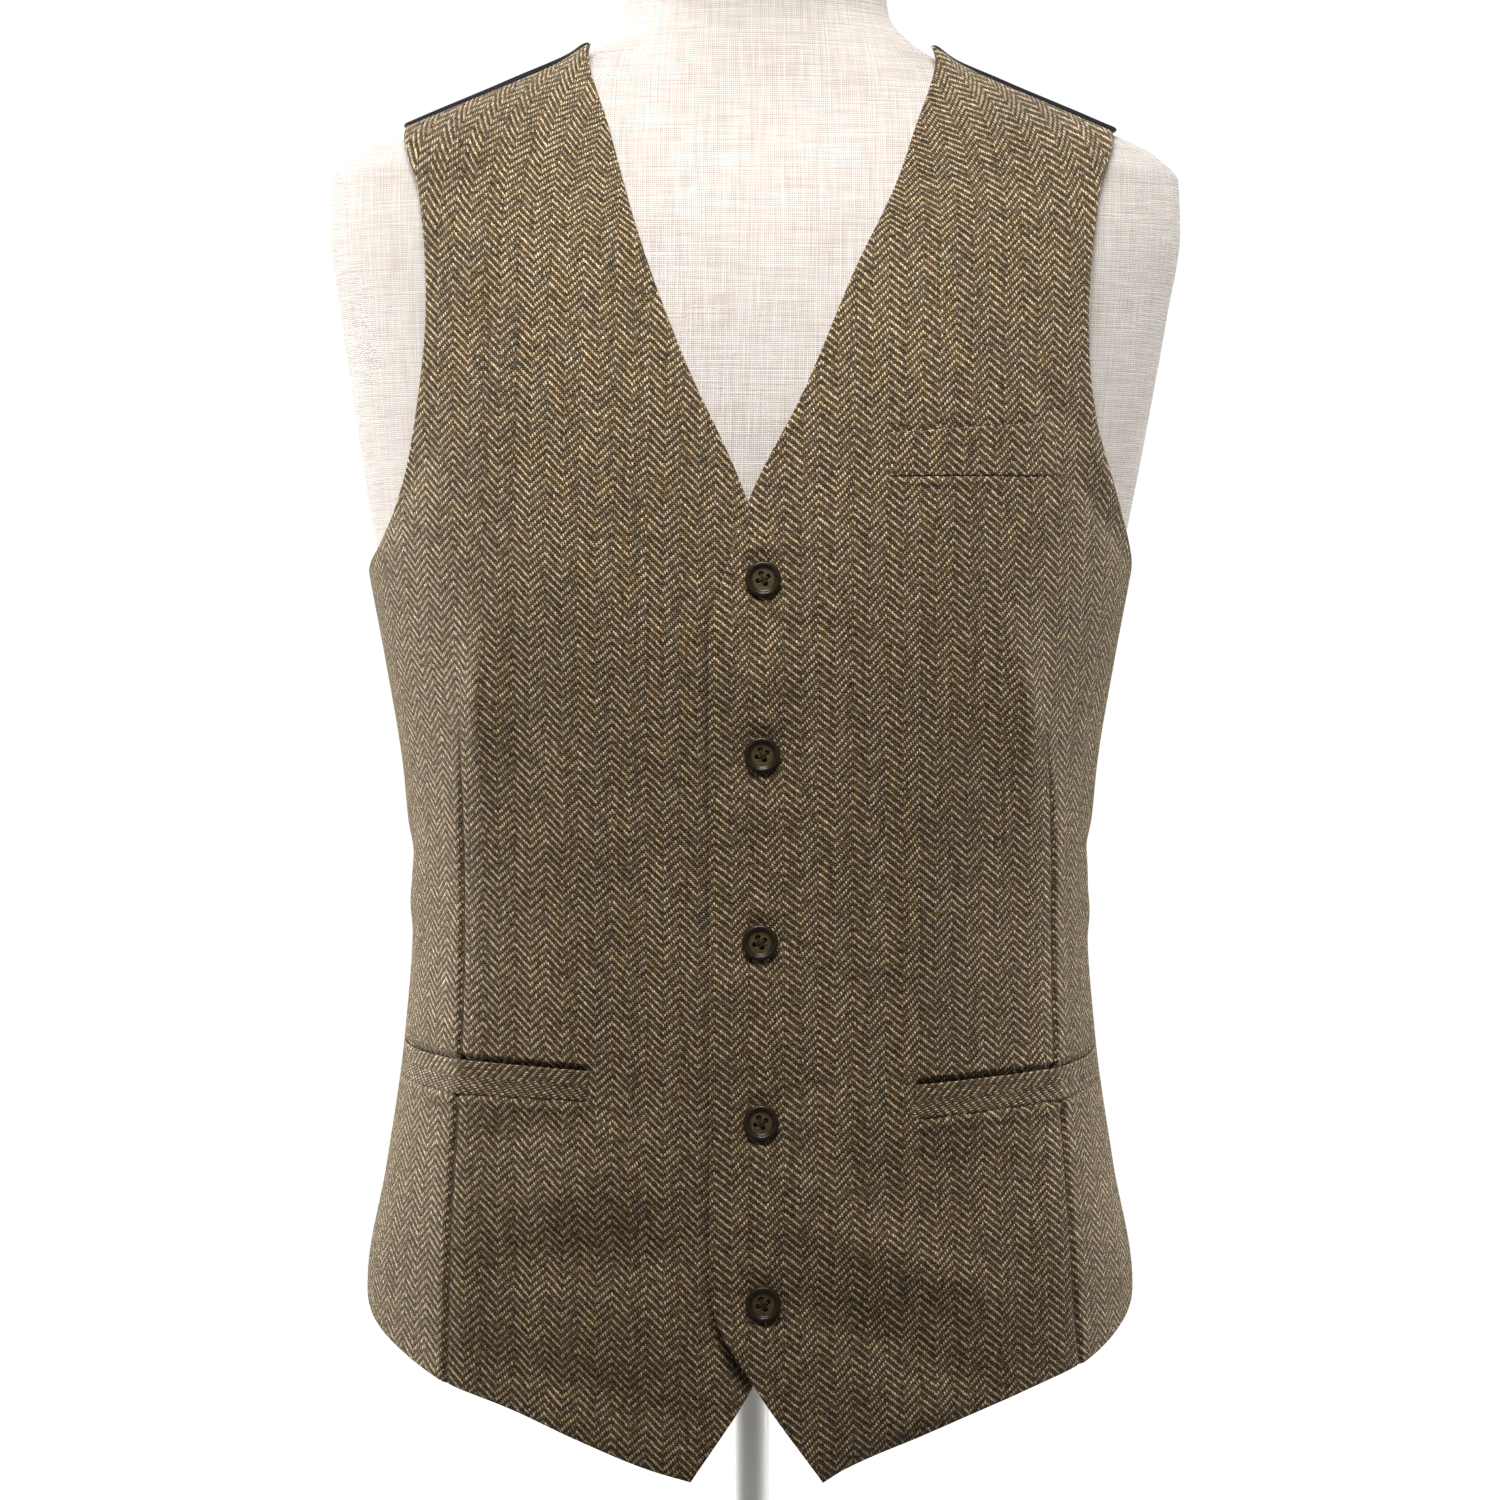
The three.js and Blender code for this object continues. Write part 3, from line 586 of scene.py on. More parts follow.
satin = {
    "color": (0.0085, 0.0075, 0.01),
    "roughness": (0.37, 0.5),  # between threads and on slubs
    "specular": 0.12,
    "pitch": 0.32,  # in mm
    "slub": 0.25,
    "acrossShare": 0.35,
    "mottle": 0.3,
    "bumpDistance": 0.00006,
}


def makeSatin():
    material, tree, shader, place = newMaterial("satin", {"Specular IOR Level": satin["specular"]})
    weave = placeGroup(tree, plainWeaveGroup, {
        "Cut": place, "Thread pitch": satin["pitch"], "Slub": satin["slub"],
        "Across share": satin["acrossShare"],
    })
    mottleInto(tree, shader, place, {"Color": satin["color"], "Amount": satin["mottle"]})
    gloss = rangeNode(tree, weave["Slub mask"], 0.0, 1.0, *satin["roughness"])
    tree.links.new(gloss, shader.inputs["Roughness"])
    bumpInto(tree, shader, weave["Height"], satin["bumpDistance"])
    return material


linen = {
    "color": (0.485, 0.44, 0.4),
    "slubColor": (0.585, 0.548, 0.522),
    # painted shade between the threads, and how much of it
    "gapShadeColor": (0.28, 0.215, 0.145),
    "gapShadeShare": 0.85,
    "roughness": 0.9,
    "specular": 0.2,
    "sheen": 0.1,
    "sheenRoughness": 0.5,
    "pitch": 0.92,
    "slub": 0.9,
    "mottle": 0.1,
    "bumpDistance": 0.00025,
}


def makeLinen():
    material, tree, shader, place = newMaterial("linen", {
        "Roughness": linen["roughness"], "Specular IOR Level": linen["specular"],
        "Sheen Weight": linen["sheen"], "Sheen Roughness": linen["sheenRoughness"],
    })
    values = {"Cut": place, "Thread pitch": linen["pitch"], "Slub": linen["slub"]}
    weave = placeGroup(tree, plainWeaveGroup, values)
    threads = mixNode(tree, weave["Slub mask"], linen["color"], linen["slubColor"])
    # painted shade: the linen is painted darker and browner in the gaps between its threads
    gap = mathNode(tree, "MULTIPLY", weave["Gap shade mask"], linen["gapShadeShare"])
    threads = mixNode(tree, gap, threads, linen["gapShadeColor"])
    mottleInto(tree, shader, place, {"Color": threads, "Amount": linen["mottle"]})
    bumpInto(tree, shader, weave["Height"], linen["bumpDistance"])
    return material


horn = {
    "dark": (0.012, 0.0075, 0.004),
    "olive": (0.088, 0.066, 0.028),
    "dishRange": (4.2, 5.6, 0.85, 0.12),  # the olive shows in the dish and fades into the dark rim
    "streakScale": 0.32,
    "streakRange": (0.3, 0.6, 0.55, 1.0),
    "scuffScale": 2.4,
    "roughness": (0.25, 0.42),  # polished and scuffed
    "coat": (0.16, 0.05),
    "coatRoughness": 0.1,
    "specular": 0.17,
    "mottle": 0.5,
    "mottleSizes": (6.0, 1.4),
    "bumpDistance": 0.00008,
}


def makeHorn():
    material, tree, shader, place = newMaterial("horn", {
        "Specular IOR Level": horn["specular"], "Coat Roughness": horn["coatRoughness"],
    })
    streaks = noiseNode(tree, place, horn["streakScale"], 3.0, 0.6)
    dish = rangeNode(tree, splitNode(tree, place)[2], *horn["dishRange"])
    share = mathNode(tree, "MULTIPLY", dish, rangeNode(tree, streaks, *horn["streakRange"]))
    large, small = horn["mottleSizes"]
    mottleInto(tree, shader, place, {
        "Color": mixNode(tree, share, horn["dark"], horn["olive"]), "Large size": large, "Small size": small,
        "Amount": horn["mottle"],
    })
    scuffs = noiseNode(tree, place, horn["scuffScale"], 3.0, 0.65)
    tree.links.new(rangeNode(tree, scuffs, 0.3, 0.7, *horn["roughness"]), shader.inputs["Roughness"])
    tree.links.new(rangeNode(tree, scuffs, 0.35, 0.65, *horn["coat"]), shader.inputs["Coat Weight"])
    bumpInto(tree, shader, streaks, horn["bumpDistance"])
    return material


thread = {
    "dark": (0.012, 0.01, 0.007),
    "light": (0.05, 0.04, 0.025),
    "roughness": 0.8,
    "specular": 0.25,
    "twistScale": 3.0,
    "bumpDistance": 0.0001,
}


def makeThread():
    material, tree, shader, place = newMaterial("thread", {
        "Roughness": thread["roughness"], "Specular IOR Level": thread["specular"],
    })
    twist = noiseNode(tree, place, thread["twistScale"], 2.0, 0.6)
    tree.links.new(mixNode(tree, twist, thread["dark"], thread["light"]), shader.inputs["Base Color"])
    bumpInto(tree, shader, twist, thread["bumpDistance"])
    return material


enamel = {
    "color": (0.78, 0.78, 0.77),
    "roughness": (0.26, 0.42),  # across the speckle
    "specular": 0.5,
    "speckleScale": 0.9,
    "mottle": 0.06,
    "bumpDistance": 0.00008,
}


def makeEnamel():
    material, tree, shader, place = newMaterial("enamel", {"Specular IOR Level": enamel["specular"]})
    mottleInto(tree, shader, place, {"Color": enamel["color"], "Amount": enamel["mottle"]})
    speckle = noiseNode(tree, place, enamel["speckleScale"], 3.0, 0.6)
    tree.links.new(rangeNode(tree, speckle, 0.3, 0.7, *enamel["roughness"]), shader.inputs["Roughness"])
    bumpInto(tree, shader, speckle, enamel["bumpDistance"])
    return material


tweedMaterial, satinMaterial, linenMaterial = makeTweed(), makeSatin(), makeLinen()
hornMaterial, threadMaterial, enamelMaterial = makeHorn(), makeThread(), makeEnamel()
print("materials ready")


buttonPlaces = [(6, 574.5), (5.5, 494.5), (4.5, 407.5), (5, 324.5), (6, 242)]  # to the wearer's left, height

front = {
    "thick": 2.2,
    "seamGap": 0.3,
    "hemKick": 3,
    "hemKickHeight": 90,
    "hemPoint": 160,
    "hemRoll": {"left": 3.0, "right": 0.8},  # how far the edge rolls in near the point
    "hemRollHeight": 9,
    "hemRollFade": (90, 125),
    "sideHem": 250,
    "underarm": 575,
    "break": 588,
    "sideSeamShare": 0.535,
    "sideRows": 12,
    "armholeRows": 18,
    "lowPitch": 35.7,  # cloth between two rows, at the hem and at the shoulder
    "highPitch": 13,
    "denseRows": {"left": [(4.2, 4.95, 0.022), (14.2, 16.9, 0.055)], "right": [(4.3, 5.1, 0.022)]},
    "columns": (62, 44),  # before the dart and beyond it
    "hemShare": 0.6,
    "edgeRadius": 1.9,
    "standOff": 0.9,
    "standOffFade": (545, 635),
    "neckStand": 3.4,
    "neckWidth": 13,
    "neckDepth": 20,
    "ridge": 4.5,
    "ridgeWidths": (40, 45),  # towards the centre and towards the side
    "ridgeFade": (480, 570),
    "weftRise": {"left": 0.15, "right": 0.045},  # slope of the weft, upwards away from the centre
    "shoulderLean": 0.4,  # slope of the stripes at the shoulder, towards the neck
    "leanFrom": 735,
    "leanHeight": 65,
    "leanMiddle": 125,
    "edge": {
        "left": [(160, 33), (204, 2), (236, -16), (252, -18.5), (400, -18.5), (548, -19), (576, -12),
                 (615, 1), (661, 23.5), (717, 46), (760, 66), (789, 76), (823, 91)],
        "right": [(160, 27), (204, -1.5), (236, -16), (252, -18.5), (400, -18.5), (548, -19), (576, -11),
                  (620, 5.5), (675, 31.5), (731, 53), (760, 61.5), (789, 69.5), (824, 83.5)],
    },
    "armhole": {
        "left": [(256, 575), (236, 579), (207, 595), (181, 622), (164, 663), (160, 712), (166, 760),
                 (178, 785.5)],
        "right": [(256, 575), (236, 578), (197, 593), (173, 622), (161, 663), (156.5, 708), (161.5, 758),
                  (175, 788)],
    },
    "hem": {
        "left": [(33, 160), (43, 166), (78, 180), (111, 193), (143, 205.5), (174, 217.5), (203, 230),
                 (230, 242), (255, 250)],
        "right": [(27, 160), (46, 165.5), (80, 179), (111, 192.2), (143, 203.5), (174, 216.5), (203, 229),
                  (230, 241), (255, 250)],
    },
    "dart": {
        "left": [(200, 158), (241, 154.5), (330, 150), (348, 147), (430, 147.5), (524, 138), (640, 118)],
        "right": [(200, 142), (241, 142), (330, 139), (352, 137.5), (430, 137), (524, 137), (640, 122)],
    },
}
dartSteps = np.array([-7, -4.6, -3, -1.9, -1.1, -0.5, 0, 0.5, 1.1, 1.9, 3, 4.6, 7])

dartSeam = {
    "soft": 1.2,  # depth of the broad valley
    "softWidths": (5, 1.8),  # towards the centre and towards the side
    "sharp": 1.0,  # depth of the stitched line
    "sharpWidth": 0.9,
    "full": 440,
    "top": 545,
    "across": 0.6,  # share of the front at which the dart's height is read
    "followFade": (565, 700),  # above the dart the grid leaves its line
    # Fullness beside the dart's upper end: height, distance before the dart, width, middle, reach up and down
    "pooches": [(2.4, 12, 12, 515, 45), (1.6, 9, 6, 522, 22)],
    "intake": 9,  # cloth taken in at the waist, which shifts the weave beyond the dart
    "waist": 415,
    "intakeReach": 150,
    "intakeFade": 500,
    "seamSoft": 0.3,
}

closure = {
    "step": 2.8,  # how far the left front stands over the right one
    "flat": 36,
    "fade": 70,
    "foot": (205, 262),  # heights between which the lap's foot begins to stand off
    "footStand": 2.4,
    "footFade": (16, 60),
    "pressed": 2.5,  # how far the right front is pressed in under the lap
    "pressedSoft": (0.2, 4),
    "footSoft": 7,
    "pressedFade": (550, 600),
}

# How each button moves the cloth: side, height, width, places across and above it, sideways stretch
buttonPulls = [
    ("both", -1.9, 8.6, 0, 0, 1),
    ("both", -1.3, 3.4, 0, 9.6, 1.5),
    ("left", 1.5, 5.2, 0, 14.5, 1.5),
    ("left", 0.7, 6, -7, -19, 1.5),
    ("left", 1.2, 4.6, 0, -11, 1.3),
]

# Corners by girth and height, how proud the lower and the upper edge stand, depth of the slit behind the
# mouth, and height of the lip below
welts = [
    {"name": "chest_welt", "side": "left", "acrossWeave": False, "proud": (0.7, 1.5), "slit": 1.0, "lip": 1.0,
     "lower": [(64, 621.5), (146.5, 623)], "upper": [(62, 641.5), (142.5, 647.5)]},
    {"name": "pocket_welt_left", "side": "left", "acrossWeave": True, "proud": (0.35, 1.2), "slit": 3.0,
     "lip": 1.9, "lower": [(75, 325.5), (147, 332.5), (196, 341.5)],
     "upper": [(76.5, 341.5), (146, 347.5), (194, 355)]},
    {"name": "pocket_welt_right", "side": "right", "acrossWeave": True, "proud": (0.35, 1.2), "slit": 3.0,
     "lip": 1.9, "lower": [(74.5, 334), (142.5, 336), (200, 344)],
     "upper": [(74.5, 348), (144.5, 352.5), (202, 359)]},
]

weltShape = {
    "thick": 1.5,
    "edgeRadius": 1.1,
    "columns": 70,
    "rows": 14,
    "endSoft": (1, 1.5),  # outside and inside the ends
    "bedDepth": 0.2,
    "bedSoft": 0.7,
    "mouthLength": 60,
    "mouthShut": 0.8,
    "slitAbove": (0.8, 3.4),
    "slitBelow": (-12, -6),
    "lipFade": (50, 8),
    "lipBelow": 2.8,
    "lipWidth": 2.0,
    "sideSink": 0.6,  # share by which a welt lies flatter at the side
    "sideSinkFrom": 0.75,
    "stripes": 41,  # by which the cut of a pocket welt is shifted
    "chestShift": (4, 1.5),
}

# Soft creases: side, points by girth and height, width across, height (below 0 a trough)
creases = [
    ("left", [(-4, 244), (30, 238), (62, 226), (95, 210), (124, 197)], 13, -4.6),
    ("left", [(76, 241), (92, 233), (114, 219)], 5, -1.2),
    ("left", [(-8, 287), (30, 277), (66, 264), (103, 248), (130, 238)], 11, 3.3),
    ("left", [(70, 307), (96, 305), (126, 309)], 8, -2.0),
    ("left", [(-14, 341), (14, 338), (46, 342)], 8, -1.7),
    ("left", [(10, 312), (62, 296), (112, 286)], 12, -1.6),
    ("left", [(-14, 532), (4, 530), (26, 536)], 13, 2.2),
    ("left", [(-15, 469), (0, 467), (14, 470)], 9, 1.5),
    ("left", [(-16, 385), (0, 383), (12, 385)], 9, 1.5),
    ("left", [(-12, 361), (2, 360), (14, 364)], 7, 1.0),
    ("left", [(-8, 301), (20, 297), (48, 290)], 11, 2.6),
    ("left", [(12, 402), (42, 388), (78, 380)], 8, -0.9),
    ("left", [(14, 556), (30, 548), (52, 545)], 9, -1.0),
    ("left", [(128, 672), (146, 652), (172, 640)], 6, -1.3),
    ("left", [(150, 628), (176, 604), (214, 582)], 6, -1.4),
    ("left", [(158, 650), (172, 628), (196, 606)], 6, 1.3),
    ("left", [(176, 470), (205, 452), (240, 446)], 9, -1.6),
    ("left", [(178, 430), (212, 418), (246, 418)], 8, 1.3),
    ("right", [(6, 270), (50, 262), (95, 260), (136, 256)], 14, -4.4),
    ("right", [(140, 223), (92, 206), (42, 193), (16, 190)], 12, -4.0),
    ("right", [(86, 322), (116, 318), (142, 315)], 7, -1.3),
    ("right", [(41, 301), (76, 294), (108, 290)], 14, 2.4),
    ("right", [(24, 344), (62, 332), (98, 330)], 12, -1.4),
    ("right", [(20, 486), (52, 474), (84, 470)], 9, -0.9),
    ("right", [(26, 424), (60, 416), (92, 418)], 10, 0.9),
    ("right", [(152, 640), (176, 610), (212, 586)], 7, -1.3),
    ("right", [(172, 466), (204, 450), (242, 444)], 9, -1.5),
    ("right", [(176, 432), (214, 422), (248, 420)], 8, 1.2),
]
creaseShape = {"ends": (0.02, 0.98), "round": 0.7}


def alongStroke(girth, z, points):  # distance to a bent line, and the share of its length there
    points = np.asarray(points, float)
    lengths = np.hypot(*np.diff(points, axis=0).T)
    starts = np.concatenate([[0], np.cumsum(lengths)])
    best = np.full(girth.shape, np.inf)
    share = np.zeros(girth.shape)
    for i, length in enumerate(lengths):
        run = (points[i + 1] - points[i]) / length
        t = np.clip((girth - points[i][0]) * run[0] + (z - points[i][1]) * run[1], 0, length)
        distance = np.hypot(girth - points[i][0] - t * run[0], z - points[i][1] - t * run[1])
        share = np.where(distance < best, (starts[i] + t) / starts[-1], share)
        best = np.minimum(best, distance)
    return best, share


def creaseRelief(side, girth, z, strokes):
    total = np.zeros(girth.shape)
    for owner, points, width, height in strokes:
        if owner != side:
            continue
        distance, share = alongStroke(girth, z, points)
        fade = np.sin(math.pi * np.clip(share, *creaseShape["ends"])) ** creaseShape["round"]
        total += height * bell(distance, width) * fade
    return total


def atNeck(side, girth, z, width, depth):  # 1 at the corner beside the neck
    height, corner = front["edge"][side][-1]
    return bell(girth - corner, width) * smoothStep(height - depth, height, z)


def standOff(side, girth, z):  # a little below the chest, and more at the corner beside the neck
    low = 1 - smoothStep(*front["standOffFade"], z)
    near = atNeck(side, girth, z, front["neckWidth"], front["neckDepth"])
    return front["standOff"] * low + front["neckStand"] * near


def plainLift(side, girth, z):
    lap = closure["step"] * (1 - smoothStep(closure["flat"], closure["fade"], girth)) if side == "left" else 0
    low = 1 - smoothStep(front["hemPoint"], front["hemPoint"] + front["hemKickHeight"], z)
    return lap + front["hemKick"] * low + standOff(side, girth, z) + ridge(side, girth, z)


def lapRelief(side, girth, z):  # the lap stands off at its foot, and the front under it is pressed in
    foot = 1 - smoothStep(*closure["foot"], z)
    if side == "left":
        return closure["footStand"] * foot * (1 - smoothStep(*closure["footFade"], girth))
    edge = -tableReading(front["edge"]["left"], z)  # where the lap ends on this front
    start, end = closure["pressedSoft"]
    under = 1 - smoothStep(edge + start, edge + end + closure["footSoft"] * foot, girth)
    depth = closure["pressed"] + closure["footStand"] * foot
    return -depth * under * (1 - smoothStep(*closure["pressedFade"], z))


def ridge(side, girth, z):  # the front bends along its dart
    off = girth - tableReading(front["dart"][side], z)
    near = np.maximum(0, 1 - np.abs(off) / np.where(off < 0, *front["ridgeWidths"]))
    return front["ridge"] * near ** 2 * (1 - smoothStep(*front["ridgeFade"], z))


def dartRelief(side, girth, z):
    off = girth - tableReading(front["dart"][side], z)
    run = 1 - smoothStep(dartSeam["full"], dartSeam["top"], z)
    valley = dartSeam["soft"] * bell(off, np.where(off < 0, *dartSeam["softWidths"]))
    valley = valley + dartSeam["sharp"] * bell(off, dartSeam["sharpWidth"])
    pooch = sum(height * bell(off + before, width) * bell(z - middle, reach)
                for height, before, width, middle, reach in dartSeam["pooches"])
    return pooch - valley * run


def buttonRelief(side, girth, z):  # each button pulls the cloth in, which is fuller above it and below it
    total = np.zeros(girth.shape)
    for at, height in buttonPlaces:
        across = girth - (at if side == "left" else -at)
        up = z - height
        for owner, bump, width, aside, above, stretch in buttonPulls:
            if owner in (side, "both"):
                total += bump * bell(np.hypot((across - aside) / stretch, up - above), width)
    return total


# The front is pressed in under a welt and behind its mouth, with a lip below it
def weltRelief(side, girth, z, welt):
    if welt["side"] != side:
        return 0
    shape = weltShape
    lower, upper = np.asarray(welt["lower"], float), np.asarray(welt["upper"], float)
    base = np.interp(girth, lower[:, 0], lower[:, 1])
    edge = np.interp(girth, upper[:, 0], upper[:, 1])
    start, end = upper[0, 0], upper[-1, 0]
    outside, inside = shape["endSoft"]
    within = smoothStep(start - outside, start + inside, girth)
    within = within * (1 - smoothStep(end - inside, end + outside, girth))
    up = np.clip((z - base) / (edge - base), 0, 1)
    bed = shape["thick"] + shape["bedDepth"] - mix(*welt["proud"], up)
    soft = shape["bedSoft"]
    total = -bed * smoothStep(-soft, soft, z - base) * (1 - smoothStep(-soft, soft, z - edge))
    mouth = 1 - smoothStep(end - shape["mouthLength"], end, girth) * shape["mouthShut"]
    slit = (1 - smoothStep(*shape["slitAbove"], z - edge)) * smoothStep(*shape["slitBelow"], z - edge)
    total = total - welt["slit"] * mouth * slit
    lipStart, lipEnd = shape["lipFade"]
    lip = welt["lip"] * (1 - smoothStep(end - lipStart, end - lipEnd, girth))
    total = total + lip * bell(z - base + shape["lipBelow"], shape["lipWidth"])
    return total * within


def hemRelief(side, girth, z):  # the edge of the hem rolls in near the point
    above = z - tableReading(front["hem"][side], girth)
    near = 1 - smoothStep(*front["hemRollFade"], girth)
    return -front["hemRoll"][side] * (1 - smoothStep(0, front["hemRollHeight"], above)) * near


def frontRelief(side, girth, z):
    total = dartRelief(side, girth, z) + buttonRelief(side, girth, z) + creaseRelief(side, girth, z, creases)
    total = total + lapRelief(side, girth, z) + hemRelief(side, girth, z)
    for welt in welts:
        total = total + weltRelief(side, girth, z, welt)
    return total


allRows = front["sideRows"] + front["armholeRows"]
rowSteps = {"low": 0.085, "high": 0.19, "least": 0.01}  # between grid lines, below and above the underarm


def rowPlaces(*dense):  # rows from hem to shoulder; dense stretches are start, end and step
    stepsLow = edgeSteps / front["lowPitch"]
    stepsHigh = allRows - edgeSteps[::-1] / front["highPitch"]
    underarm = front["sideRows"]
    parts = [stepsLow[:-1]]
    at = stepsLow[-1]
    for start, end, step in (*dense, (stepsHigh[0], None, None)):
        below = (at, min(start, underarm), rowSteps["low"])
        above = (max(at, underarm), start, rowSteps["high"])
        for low, high, coarse in (below, above):
            if high - low > rowSteps["least"]:
                count = max(2, round((high - low) / coarse))
                parts.append(np.linspace(low, high, count, endpoint=False))
        if end is None:
            break
        parts.append(np.linspace(start, end, round((end - start) / step), endpoint=False))
        at = end
    return np.concatenate([*parts, stepsHigh])


def outerEdge(row, armhole, shift):
    z = mix(front["sideHem"], front["underarm"], row / front["sideRows"])
    curve = splineThrough(armhole, (row - front["sideRows"]) / front["armholeRows"])
    low = row <= front["sideRows"]
    girth = np.where(low, front["sideSeamShare"] * halfGirth(z) + shift, curve[:, 0])
    return girth, np.where(low, z, curve[:, 1])


def edgeRounding(cloth, place, width, row):
    radius = cloth["edgeRadius"]
    sides = turned(place, radius) * turned(width[:, None] - place, radius)
    hem = turned(row * cloth["lowPitch"], radius)[:, None]
    shoulder = turned((allRows - row) * cloth["highPitch"], radius)[:, None]
    return sides * hem * shoulder


def makeFront(side):
    edge, hem = front["edge"][side], front["hem"][side]
    row = rowPlaces(*front["denseRows"][side])
    sideRows, armholeRows = front["sideRows"], front["armholeRows"]
    innerZ = np.where(row <= sideRows, mix(front["hemPoint"], front["break"], row / sideRows),
                      mix(front["break"], edge[-1][0], (row - sideRows) / armholeRows))
    innerGirth = tableReading(edge, innerZ)
    outerGirth, outerZ = outerEdge(row, front["armhole"][side], -front["seamGap"] / 2)
    width = np.hypot(outerGirth - innerGirth, outerZ - innerZ)
    dartZ = mix(innerZ, outerZ, dartSeam["across"])
    dartShare = (tableReading(front["dart"][side], dartZ) - innerGirth) / (outerGirth - innerGirth)
    follow = 1 - smoothStep(*dartSeam["followFade"], dartZ)
    toDart = width * mix(0.5, dartShare, follow)
    before, beyond = front["columns"]
    parts = [edgeSteps[:, None] + 0 * row]
    parts.append(np.linspace(edgeSteps[-1] + 0 * row, toDart + dartSteps[0], before)[1:-1])
    parts.append(toDart + dartSteps[:, None])
    parts.append(np.linspace(toDart + dartSteps[-1], width - edgeSteps[-1], beyond)[1:-1])
    parts.append(width - edgeSteps[::-1, None])
    place = np.concatenate(parts).T
    share = place / width[:, None]
    straight = mix(front["hemPoint"], front["sideHem"], share)
    sag = tableReading(hem, mix(hem[0][0], hem[-1][0], share)) - straight
    pull = np.maximum(0, 1 - row / (sideRows * front["hemShare"]))[:, None] ** 2
    z = mix(innerZ[:, None], outerZ[:, None], share) + sag * pull
    girth = mix(innerGirth[:, None], outerGirth[:, None], share)
    rounding = edgeRounding(front, place, width, row)
    lift = plainLift(side, girth, z) + frontRelief(side, girth, z)
    soft = dartSeam["seamSoft"]
    outside = smoothStep(-soft, soft, girth - tableReading(front["dart"][side], z))
    intake = dartSeam["intake"] * bell(z - dartSeam["waist"], dartSeam["intakeReach"])
    intake = intake * (1 - smoothStep(dartSeam["intakeFade"], dartSeam["top"], z))
    sign = 1 if side == "left" else -1
    high = np.maximum(0, z - front["leanFrom"])
    lean = front["shoulderLean"] * high / front["leanHeight"]
    along = z - front["weftRise"][side] * girth - lean * (girth - front["leanMiddle"])
    cut = np.stack([sign * (girth + outside * intake + lean * high / 2), along, 0 * z], -1)
    return clothSheet(f"front_{side}_cloth", sign, girth, z, lift, front["thick"], rounding, cut,
                      tweedMaterial, [f"front_{side}"])


def stepsBetween(length, count):  # shares along a length, close together at both its ends
    ends = edgeSteps / length
    return np.concatenate([ends, np.linspace(ends[-1], 1 - ends[-1], count)[1:-1], 1 - ends[::-1]])


def makeWelt(welt):
    lower, upper = np.asarray(welt["lower"], float), np.asarray(welt["upper"], float)
    length = upper[-1, 0] - upper[0, 0]
    tall = float(np.mean(upper[:, 1] - lower[:, 1]))
    share = stepsBetween(length, weltShape["columns"])
    up = stepsBetween(tall, weltShape["rows"])

    def along(corners):
        knots = np.linspace(0, 1, len(corners))
        return np.stack([np.interp(share, knots, corners[:, 0]), np.interp(share, knots, corners[:, 1])], -1)

    low, high = along(lower), along(upper)
    girth = mix(low[:, 0], high[:, 0], up[:, None])
    z = mix(low[:, 1], high[:, 1], up[:, None])
    side, thick = welt["side"], weltShape["thick"]
    sink = 1 - weltShape["sideSink"] * smoothStep(weltShape["sideSinkFrom"], 1, share)
    proud = mix(*welt["proud"], up[:, None]) * sink
    lift = plainLift(side, girth, z) + creaseRelief(side, girth, z, creases) + front["thick"] + proud - thick
    radius = weltShape["edgeRadius"]
    rounding = turned(np.minimum(share, 1 - share)[None, :] * length, radius)
    rounding = rounding * turned(up * tall, radius)[:, None] * turned((1 - up) * tall, radius)[:, None]
    sign = 1 if side == "left" else -1
    if welt["acrossWeave"]:  # one change of the twill runs along the middle, its points to the wearer's right
        stripe = herringbone["yarnsPerStripe"] * herringbone["warpPitch"]
        middle = (low[:, 1] + high[:, 1]) / 2
        cut = np.stack([middle - z + weltShape["stripes"] * stripe, sign * girth, 0 * z], -1)
    else:
        right, raised = weltShape["chestShift"]
        cut = np.stack([sign * girth + right, z - front["weftRise"][side] * girth + raised, 0 * z], -1)
    return clothSheet(f"{welt['name']}_cloth", sign, girth, z, lift, thick, rounding, cut,
                      tweedMaterial, [welt["name"]])


fronts = {side: makeFront(side) for side in ("left", "right")}
weltPieces = [makeWelt(welt) for welt in welts]
print("fronts and welts made")


back = {
    "thick": 1.4,
    "hem": 246,
    "neck": 806,
    "neckRows": 7,
    "lowPitch": 27,  # cloth between two rows, at the hem and at the shoulder
    "highPitch": 12,
    "columns": 96,
    "edgeRadius": 1.3,
    "shoulderGap": 0.5,
    "neckRound": 1.5,
    "seamFold": 0.5,  # height of the fold beside the centre seam
    "seamFoldWidth": 4,
    "seamFoldFade": (780, 806),
    "neckStand": 0.9,
    "neckWidth": 20,
    "neckDepth": 14,
    "armhole": {  # distance from the centre back, and height
        "left": [(205, 588), (190, 615), (180, 660), (177, 715), (175, 757), (177, 779), (185, 788),
                 (201, 790)],
        "right": [(205, 588), (190, 615), (178, 660), (173, 715), (171, 757), (172, 780), (181, 790),
                  (196, 792)],
    },
}

